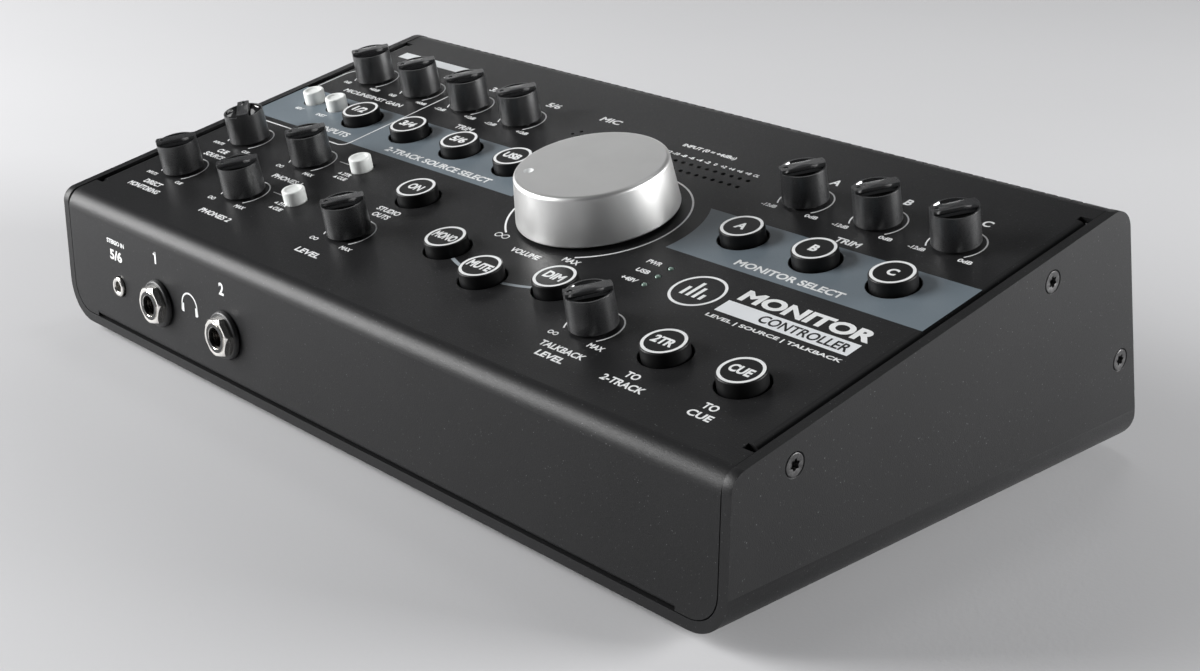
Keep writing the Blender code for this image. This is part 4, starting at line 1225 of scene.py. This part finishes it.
def build_bracket(solid):
    """Outline that groups the two microphone inputs."""
    base = [(6.8, 97.4), (6.8, 111.5)] + around((12.8, 111.5), 6.0, 180.0, 128.0, 8)
    add_ribbon(solid, base, 0.5)
    corner = around((57.4, 73.9), 3.2, -90.0, 0.0, 10)
    add_ribbon(solid, [(9.0, 70.7)] + corner + [(60.6, 115.8)], 0.5)


def hole_cuts(nodes):
    """Cutters that keep print clear of the buttons' holes."""
    cuts = Solid()
    for node in nodes:
        radius = BUTTON_HOLE_R if node in BUTTON_WORDS else SMALL_HOLE_R
        at = Matrix.Translation((*mm([panel_place(node)])[0], 0))
        cuts.cylinder(radius + 0.30 * MM, -MM, MM, 64, at)
    return cuts


def build_bands(centre):
    """Two tinted bands whose inner ends follow the big knob."""
    low, high = 73.3, 97.4
    rows = [low + (high - low) * k / 24 for k in range(25)]
    for name, side, far, starts in (
        ("monitor_band", 1, 295.0, ("monitor_button",)),
        ("source_band", -1, 3.5, ("source_button_", "phantom_b", "instrument_b")),
    ):
        curve = [(centre[0] + side * math.sqrt(32.8**2 - (v - centre[1]) ** 2), v) for v in rows]
        outline = (curve + [(far, high), (far, low)])[::-side]
        band = Solid().prism(mm(outline), INK_LOW, INK_LOW + INK_T * 0.5)
        printed(name, band, BAND_INK, PANEL, hole_cuts(named(*starts)))


def build_panel_print():
    centre = panel_place("volume_pot")
    white = Solid()
    for text, place, height, width in PANEL_WORDS:
        lettering(white, text, place, height, width)
    build_scales(white)
    add_source_marks(white)
    add_ribbon(white, around(centre, 27.25, 236.0, -58.0, 120), 0.6)
    add_infinity(white, (159.9, 54.2), 2.6)
    build_meter_print(white)
    build_emblem(white)
    build_bracket(white)
    lettering(white, "MONITOR", (266.0, 64.3), 5.6, 43.0, heavy=0.045)
    lettering(white, "LEVEL | SOURCE | TALKBACK", (265.3, 51.6), 1.9, 44.6)
    for v, right, left in ((62.3, 75.2, 70.4), (36.6, 74.6, 69.6)):
        add_ribbon(white, [(right, v), (left, v)], 0.35)
    printed("panel_legends", white, WHITE_INK_AND_HIGHLIGHT, PANEL)
    bar = add_bar(Solid(), (243.2, 54.4), (287.0, 60.2), INK_T * 0.6)
    printed("title_bar", bar, LIGHT_INK, PANEL)
    dark = Solid()
    lettering(dark, "CONTROLLER", (271.0, 57.3), 3.6, 29.0, low=INK_LOW + 0.015 * MM, heavy=0.02)
    printed("title_bar_word", dark, POWDER, PANEL)
    header = add_bar(Solid(), (12.0, 132.2), (48.0, 136.4), INK_T * 0.6)
    printed("input_header", header, HEADER_INK, PANEL)
    grey = add_ribbon(Solid(), around(centre, 44.8, 237.5, 302.5, 80), 1.1)
    cuts = hole_cuts(("mono_button", "mute_button", "dim_button"))
    printed("button_link", grey, GREY_INK, PANEL, cuts=cuts)
    build_bands(centre)


def build_front_print():
    wall = on_front(0.0, 0.0)
    low = -0.01 * MM
    ink = Solid()
    for text, place, height, width in FRONT_WORDS:
        lettering(ink, text, place, height, width, None, low)
    add_ribbon(ink, [(55.5, 33.9), (56.7, 34.7)], 0.6, low=low)
    u, v = HEADPHONES_AT
    arch = around((u, v + 0.3), 4.25, 180.0, 0.0, 28)
    add_ribbon(ink, [(u - 4.45, v - 1.7)] + arch + [(u + 4.45, v - 1.7)], 0.5, low=low)
    for side in (-1, 1):
        cup = u + side * 3.75
        add_ribbon(ink, [(cup, v + 0.8), (cup, v - 2.0)], 1.1, low=low)
    printed("front_legends", ink, WHITE_INK_AND_HIGHLIGHT, wall)


# --- lamps ---
def build_lamps():
    us, vs = zip(*STATUS_LAMPS)
    low = ((min(us) - 2) * MM, (min(vs) - 2) * MM, -6.0 * MM)
    high = ((max(us) + 2) * MM, (max(vs) + 2) * MM, -2.2 * MM)
    lens = make("status_lenses", Solid().box(low, high), LENS, PANEL)

    def pegs(places, profile, segments):
        solid = Solid()
        for u, v in places:
            solid.lathe(profile, segments, Matrix.Translation((u * MM, v * MM, 0)))
        return solid

    status = domed(0.8 * MM, -3 * MM, -0.25 * MM, 0.4 * MM, 6)
    combine(lens, [("UNION", pegs(STATUS_LAMPS, status, 24))], PANEL)
    settle(lens, "lamp_lens", "status_light_guide")
    bead = domed(0.55 * MM, -2.6 * MM, -1.3 * MM, 0.5 * MM, 5)
    printed("meter_lenses", pegs(meter_places(), bead, 16), LAMP, PANEL)


# --- front sockets ---
def ring(profile, segments, frame=None):
    """Closed ring from (r, h) pairs that never touch the axis."""
    verts, faces = [], []
    for r, h in profile:
        for a, b in circle(r, segments):
            verts.append((a, b, h))
    rows = len(profile)
    for i in range(rows):
        j = (i + 1) % rows
        for k in range(segments):
            n = (k + 1) % segments
            faces.append((i * segments + k, i * segments + n, j * segments + n, j * segments + k))
    return Solid().add(verts, faces, frame)


def threaded_bore(radius, low, high, pitch, depth, segments=40):
    """Grooved wall for a bore: a thin sleeve whose inside rises and falls."""
    rows = int((high - low) / pitch * 4)
    inside = []
    for k in range(rows + 1):
        groove = depth * (0.5 + 0.5 * math.cos(math.pi * k / 2.0))
        inside.append((radius - groove, high - (high - low) * k / rows))
    return ring([(radius + 0.25 * MM, high), *inside, (radius + 0.25 * MM, low)], segments)


def build_phones(number, x):
    frame = on_front(x, SOCKET_Z)
    body = block(15, 15, FRONT_BEHIND - 22 * MM, FRONT_BEHIND)
    socket = make(f"phones_socket_{number}_body", body, [MOULDED, CHROME], frame)
    bush = Solid().cylinder(BUSH_R, FRONT_BEHIND - 5 * MM, BUSH_OUT, 64)
    bore = Solid().lathe(
        flared(PHONE_BORE_R, PHONE_BORE_R + 0.12 * MM, -18 * MM, BUSH_OUT - 0.1 * MM, BUSH_OUT + 0.02 * MM,
               BUSH_OUT + MM), 64)
    combine(socket, [("UNION", bush), ("DIFFERENCE", bore)], frame)
    back = frame.inverted()
    for face in socket.data.polygons:
        c = back @ face.center
        if c.z > FRONT_BEHIND + 0.2 * MM and math.hypot(c.x, c.y) > PHONE_BORE_R + 0.02 * MM:
            face.material_index = 1
    settle(socket, "socket_plastic", f"phones_socket_{number}")
    # The thread takes the darkened nickel: painted shade inside the bore.
    thread = threaded_bore(3.05 * MM, -9 * MM, BUSH_OUT - 1.0 * MM, 0.8 * MM, 0.16 * MM)
    settle(make(f"phones_thread_{number}", thread, SHADED_NICKEL, frame), "nickel", body="enclosure")
    section = rounded([
        (BUSH_R + GAP, GAP),
        (WASHER_R, GAP, 0.25 * MM, 4),
        (WASHER_R - 0.5 * MM, WASHER_H, 0.7 * MM, 8),
        (BUSH_R + GAP, WASHER_H),
    ])
    washer = make(f"phones_washer_{number}_ring", ring(section, 96), MOULDED, frame)
    settle(washer, "washer_steel", f"phones_washer_{number}", angle=50.0)
    low, high = WASHER_H + 0.05 * MM, BUSH_OUT - 0.2 * MM
    hexagon = Solid().prism(circle(NUT_R, 6, math.radians(12.0)), low, high)
    nut = make(f"phones_nut_{number}_hex", hexagon, CHROME, frame)
    chamfer = [
        (0.0, low - MM),
        (NUT_R + MM, low - MM),
        (NUT_R + MM, high - 1.45 * MM),
        (NUT_R * 0.885, high),
        (0.0, high),
    ]
    hole = Solid().cylinder(BUSH_R + 0.05 * MM, low - MM, high + MM, 64)
    combine(nut, [("INTERSECT", Solid().lathe(chamfer, 96)), ("DIFFERENCE", hole)], frame)
    ease(nut, 0.08 * MM, 2, 30.0)
    settle(nut, "nickel", f"phones_nut_{number}", angle=28.0)


def bush_profile(radius, bottom, edge, top):
    """Lathe profile of a round bush with its outer rim cut back by edge."""
    return [(0.0, bottom), (radius, bottom), (radius, top - edge[1]), (radius - edge[0], top), (0.0, top)]


def build_aux():
    frame = on_front(AUX_PLACE[0], AUX_PLACE[1] * MM)
    socket = make("aux_input_body", block(9, 9, FRONT_BEHIND - 12 * MM, FRONT_BEHIND), CHROME, frame)
    bush = bush_profile(AUX_R, FRONT_BEHIND - 3 * MM, (0.3 * MM, 0.3 * MM), AUX_OUT)
    bore = flared(AUX_BORE_R, AUX_BORE_R + 0.4 * MM, -10 * MM, AUX_OUT - 0.35 * MM, AUX_OUT + 0.05 * MM,
                  AUX_OUT + MM)
    combine(socket, [("UNION", Solid().lathe(bush, 64)), ("DIFFERENCE", Solid().lathe(bore, 48))], frame)
    settle(socket, "nickel", "aux_input_socket")


# --- back sockets ---
def build_combo(number, place):
    frame = on_back(*place)
    body = block(27, 33, BACK_BEHIND - 20 * MM, BACK_BEHIND)
    socket = make(f"mic_line_socket_{number}_body", body, MOULDED, frame)
    nose = Solid().cylinder(COMBO_R, BACK_BEHIND - 5 * MM, -GAP, 96)
    wide = COMBO_BORE_R + 0.8 * MM
    recess = flared(COMBO_BORE_R, wide, -14 * MM, -GAP - 0.6 * MM, -GAP + 0.2 * MM, MM)
    centre = Solid().cylinder(6.2 * MM, -15 * MM, -5 * MM, 64)
    throat = Solid().cylinder(LINE_BORE_R, -19 * MM, MM, 48)
    tab = Solid().box((-1.9 * MM, 7.4 * MM, -13 * MM), (1.9 * MM, 10.2 * MM, -0.9 * MM))
    pins = Solid()
    for angle in (150.0, 270.0, 390.0):
        a = math.radians(angle)
        at = Matrix.Translation((5.0 * MM * math.cos(a), 5.0 * MM * math.sin(a), 0.0))
        pins.cylinder(0.9 * MM, -9 * MM, -4 * MM, 24, at)
    combine(socket, [
        ("UNION", nose),
        ("DIFFERENCE", Solid().lathe(recess, 96)),
        ("UNION", centre),
        ("DIFFERENCE", throat),
        ("UNION", tab),
        ("DIFFERENCE", pins),
    ], frame)
    ease(socket, 0.12 * MM, 2, 40.0)
    settle(socket, "socket_plastic", f"mic_line_socket_{number}")
    contacts = ring(mm([(3.35, -16), (3.35, -9), (2.9, -10), (2.9, -15)]), 32)
    settle(make(f"mic_line_contacts_{number}", contacts, CHROME, frame), "nickel", body="enclosure")


def build_line_rows():
    middle = sum(LINE_X) / len(LINE_X)
    reach = max(LINE_X) - min(LINE_X) + 16
    bush = bush_profile(BUSH_R, BACK_BEHIND - 4 * MM, (0.4 * MM, 0.45 * MM), 1.15 * MM)
    bore = flared(LINE_BORE_R, LINE_BORE_R + 0.45 * MM, -16 * MM, 0.8 * MM, 1.25 * MM, 3 * MM)
    tube = [(LINER_R, -12 * MM), (LINER_R, -0.4 * MM), (3.15 * MM, -0.7 * MM), (3.15 * MM, -12 * MM)]
    for name, s in LINE_ROWS_S.items():
        frame = on_back(middle, s)
        row = make(f"{name}_body", block(reach, 15, BACK_BEHIND - 20 * MM, BACK_BEHIND), MOULDED, frame)
        bushes, bores, sleeves = Solid(), Solid(), Solid()
        for x in LINE_X:
            at = Matrix.Translation(((middle - x) * MM, 0, 0))
            bushes.lathe(bush, 64, at)
            bores.lathe(bore, 64, at)
            tubes = ring(tube, 48, at)
            sleeves.add(tubes.verts, tubes.faces)
        combine(row, [("UNION", bushes), ("DIFFERENCE", bores)], frame)
        settle(row, "socket_plastic", name)
        settle(make(f"{name}_sleeves", sleeves, CHROME, frame), "nickel", body="enclosure")


def build_computer_socket():
    frame = on_back(*USB_PLACE)
    can = make("computer_socket_can", block(12, 11, -16 * MM, -GAP), CHROME, frame)
    opening = mm([(-4.2, -3.7), (4.2, -3.7), (4.2, 2.3), (2.7, 3.9), (-2.7, 3.9), (-4.2, 2.3)])
    combine(can, [("DIFFERENCE", Solid().prism(opening, -13 * MM, MM))], frame)
    ease(can, 0.15 * MM, 2, 40.0)
    settle(can, "nickel", "computer_socket")
    bar = Solid().box((-2.8 * MM, -1.4 * MM, -13.2 * MM), (2.8 * MM, 1.5 * MM, -3.5 * MM))
    tongue = make("computer_socket_tongue", bar, PALE, frame)
    ease(tongue, 0.2 * MM)
    settle(tongue, "light_plastic", body="enclosure")
    pads = Solid()
    for side in (-1, 1):
        y0, y1 = sorted((side * 1.45 * MM + 0.03 * MM, side * 1.62 * MM + 0.03 * MM))
        for x in (-1.3, 1.3):
            pads.box(((x - 0.5) * MM, y0, -12 * MM), ((x + 0.5) * MM, y1, -4.2 * MM))
    settle(make("computer_socket_contacts", pads, GOLD, frame), "nickel", body="enclosure")


def build_inlet():
    frame = on_back(*INLET_PLACE)
    inlet = make("power_inlet_body", block(9, 11, -14 * MM, -GAP), MOULDED, frame)
    bore = flared(3.2 * MM, 3.8 * MM, -11 * MM, -0.8 * MM, -0.2 * MM, MM)
    combine(inlet, [("DIFFERENCE", Solid().lathe(bore, 64))], frame)
    ease(inlet, 0.15 * MM, 2, 40.0)
    settle(inlet, "socket_plastic", "power_inlet")
    pin = Solid().lathe(domed(1.0 * MM, -11.5 * MM, -2.6 * MM, 1.0 * MM, 6), 32)
    settle(make("power_inlet_pin", pin, CHROME, frame), "nickel", body="enclosure")


def build_rocker():
    half, deep, top = 8.4 * MM, -6.0 * MM, 1.0 * MM
    rise = half * math.tan(math.radians(ROCKER_TILT))
    outline = rounded([
        (-half, deep + 2 * MM),
        (-3 * MM, deep),
        (3 * MM, deep),
        (half, deep + 2 * MM),
        (half, top, 0.4 * MM, 4),
        (0.0, top - rise, 12.0 * MM, 10),
        (-half, top, 0.4 * MM, 4),
    ])
    place = on_back(*ROCKER_PLACE) @ Matrix.Translation((0, 0, -2 * MM))
    lean = Matrix.Rotation(math.radians(-ROCKER_TILT), 4, "X")
    body = Solid().prism(outline, -5.4 * MM, 5.4 * MM, lean @ YZ_FRAME)
    rocker = make("power_rocker_cap", body, CAP, place)
    ease(rocker, 0.2 * MM, 2, 40.0)
    settle(rocker, "button_plastic", "power_rocker")
    marks = Solid()
    for side in (-1, 1):
        tilt = Matrix.Rotation(math.radians(side * ROCKER_TILT), 4, "X")
        at = lean @ Matrix.Translation((0, side * 4.9 * MM, top - rise * (1 - 4.9 / 8.4))) @ tilt
        path = mm([(0, -1.5), (0, 1.5)]) if side > 0 else circle(1.3 * MM, 32)
        line = ribbon(path, 0.5 * MM if side > 0 else 0.45 * MM, -0.02 * MM, 0.03 * MM, closed=side < 0)
        marks.add(line.verts, line.faces, at)
    word = make("power_rocker_marks", marks, WHITE_INK_AND_HIGHLIGHT, place)
    settle(word, "light_plastic", body=NODES["power_rocker"]["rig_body"])


BACK_WORDS = [
    # text, (x, s), height, width; x runs from the left cheek as seen from the front
    ("MIC 1", (34.0, 53.0), 2.4, 9.0),
    ("MIC 2", (70.0, 53.0), 2.4, 9.0),
    *[(sign, (x, 55.6), 2.4, None) for x, sign in zip(LINE_X, "3456LR")],
    ("LINE IN", (131.0, 39.0), 2.6, 13.0),
    ("2-TRACK OUT", (185.0, 39.0), 2.6, 20.0),
    *[(sign, (x, 14.2), 2.4, None) for x, sign in zip(LINE_X, "LRLRLR")],
    ("A", (113.0, 30.6), 2.8, None),
    ("B", (149.0, 30.6), 2.8, None),
    ("C", (185.0, 30.6), 2.8, None),
    ("MONITOR OUT", (149.0, 9.6), 2.4, 21.0),
    ("USB", (220.0, 43.6), 2.4, 6.4),
    ("POWER IN", (246.0, 43.6), 2.4, 14.0),
    ("ON", (272.0, 47.6), 2.2, 4.0),
    ("OFF", (272.0, 20.6), 2.2, 5.4),
]


def build_back_print():
    low = -GAP - 0.01 * MM
    ink = Solid()
    for text, place, height, width in BACK_WORDS:
        lettering(ink, text, (0.0, 0.0), height, width, on_back(*place), low)
    printed("back_legends", ink, WHITE_INK_AND_HIGHLIGHT, None)


# --- screws and feet ---
def star(outer, inner, lobes=6, steps=8):
    """Rounded six-lobed outline for the driver recess."""
    middle, swing = (outer + inner) / 2.0, (outer - inner) / 2.0
    turns = [2.0 * math.pi * k / (lobes * steps) for k in range(lobes * steps)]
    reaches = [middle + swing * math.cos(lobes * a) for a in turns]
    return [(reach * math.cos(a), reach * math.sin(a)) for reach, a in zip(reaches, turns)]


def build_screws():
    names = [f"screw_{side}_{where}" for side in ("left", "right") for where in ("front", "top", "rear")]
    profile = [
        (0.0, -SCREW_LEN),
        (SCREW_R, -SCREW_LEN),
        (SCREW_R, SCREW_R - SCREW_HEAD_R),
        (SCREW_HEAD_R - 0.1 * MM, -0.12 * MM),
        (SCREW_HEAD_R - 0.3 * MM, 0.0),
        (0.0, 0.0),
    ]
    recess = Solid().prism(star(1.65 * MM, 1.15 * MM), -1.3 * MM, MM)
    for turn, (name, place) in enumerate(zip(names, screw_frames())):
        frame = place @ Matrix.Rotation(math.radians(23.0 * turn + 11.0), 4, "Z")
        screw = make(f"{name}_head", Solid().lathe(profile, 64), STEEL, frame)
        combine(screw, [("DIFFERENCE", recess)], frame)
        ease(screw, 0.07 * MM, 2, 35.0)
        settle(screw, "screw_steel", name)


def build_feet():
    top = FOOT_H - 0.1 * MM
    peg_top = top + 2.2 * MM
    profile = rounded([
        (0.0, 0.0),
        (FOOT_R, 0.0, 0.8 * MM, 6),
        (FOOT_R, top, 0.2 * MM, 3),
        (1.7 * MM, top),
        (1.7 * MM, peg_top),
        (0.0, peg_top),
    ])
    for name in named("foot_"):
        place = foot_place(name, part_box(name)[0].z)
        pad = make(f"{name}_pad", Solid().lathe(profile, 64), RUBBER, place)
        settle(pad, "foot_rubber", name, angle=50.0)


# --- stage ---
def build_stage():
    paper = surface("studio_paper", (0.60, 0.60, 0.61), 0.75, 0.0, (400.0, 0.02), (1.2, 0.02), 0.05)
    floor = make("studio_floor", Solid().box((-4.0, -4.0, -0.02), (4.0, 4.0, -0.0004)), paper)


def add_light(name, place, size, power):
    """Rectangular area light of a size and power, aimed at the object."""
    light = bpy.data.lights.new(name, "AREA")
    light.shape = "RECTANGLE"
    light.size, light.size_y = size
    light.energy = power
    obj = bpy.data.objects.new(name, light)
    bpy.context.scene.collection.objects.link(obj)
    aim = LIGHT_TARGET - Vector(place)
    obj.matrix_world = Matrix.Translation(place) @ aim.to_track_quat("-Z", "Y").to_matrix().to_4x4()


def build_lights():
    """Two large side lights, three small ones for the highlights and a faint backdrop."""
    world = bpy.data.worlds.new("studio")
    bpy.context.scene.world = world
    world.use_nodes = True
    backdrop = world.node_tree.nodes["Background"]
    backdrop.inputs["Color"].default_value = (0.80, 0.82, 0.86, 1.0)
    backdrop.inputs["Strength"].default_value = 0.07
    add_light("left_box", (-1.00, -0.80, 0.47), (0.9, 0.8), 38.0)
    add_light("right_box", (1.05, 0.90, 0.34), (0.9, 0.6), 34.0)
    add_light("top_box", (-1.03, 0.735, 0.806), (0.62, 0.30), 0.60)
    add_light("rim_box", (-0.90, 0.95, 0.36), (1.0, 0.07), 1.2)
    add_light("over_box", (-0.10, 0.44, 1.14), (0.25, 0.25), 0.8)


def build_camera():
    data = bpy.data.cameras.new("camera")
    data.lens = 56.2
    data.sensor_width = 36.0
    data.clip_start = 0.01
    data.clip_end = 50.0
    obj = bpy.data.objects.new("camera", data)
    right = (0.68300, 0.73036, 0.00917)
    up = (-0.26444, 0.23554, 0.93520)
    back = (0.68087, -0.64117, 0.35401)
    obj.matrix_world = frame_matrix(right, up, back, Vector((0.40072, -0.35904, 0.21919)))
    bpy.context.scene.collection.objects.link(obj)
    bpy.context.scene.camera = obj


def main():
    build_camera()
    build_lights()
    build_stage()
    build_tray()
    build_shell()
    build_screws()
    build_feet()
    build_knobs()
    build_big_knob()
    build_buttons()
    build_panel_print()
    build_front_print()
    build_lamps()
    for number, x in enumerate(PHONES_X, start=1):
        build_phones(number, x)
    build_aux()
    for number, place in enumerate(COMBO_PLACES, start=1):
        build_combo(number, place)
    build_line_rows()
    build_computer_socket()
    build_inlet()
    build_rocker()
    build_back_print()
    for name, skin in (("control_board", LAMINATE), ("volume_pot", CHROME)):
        NODES[name].data.materials.clear()
        NODES[name].data.materials.append(skin)
    bpy.context.scene.view_settings.view_transform = "Standard"


main()
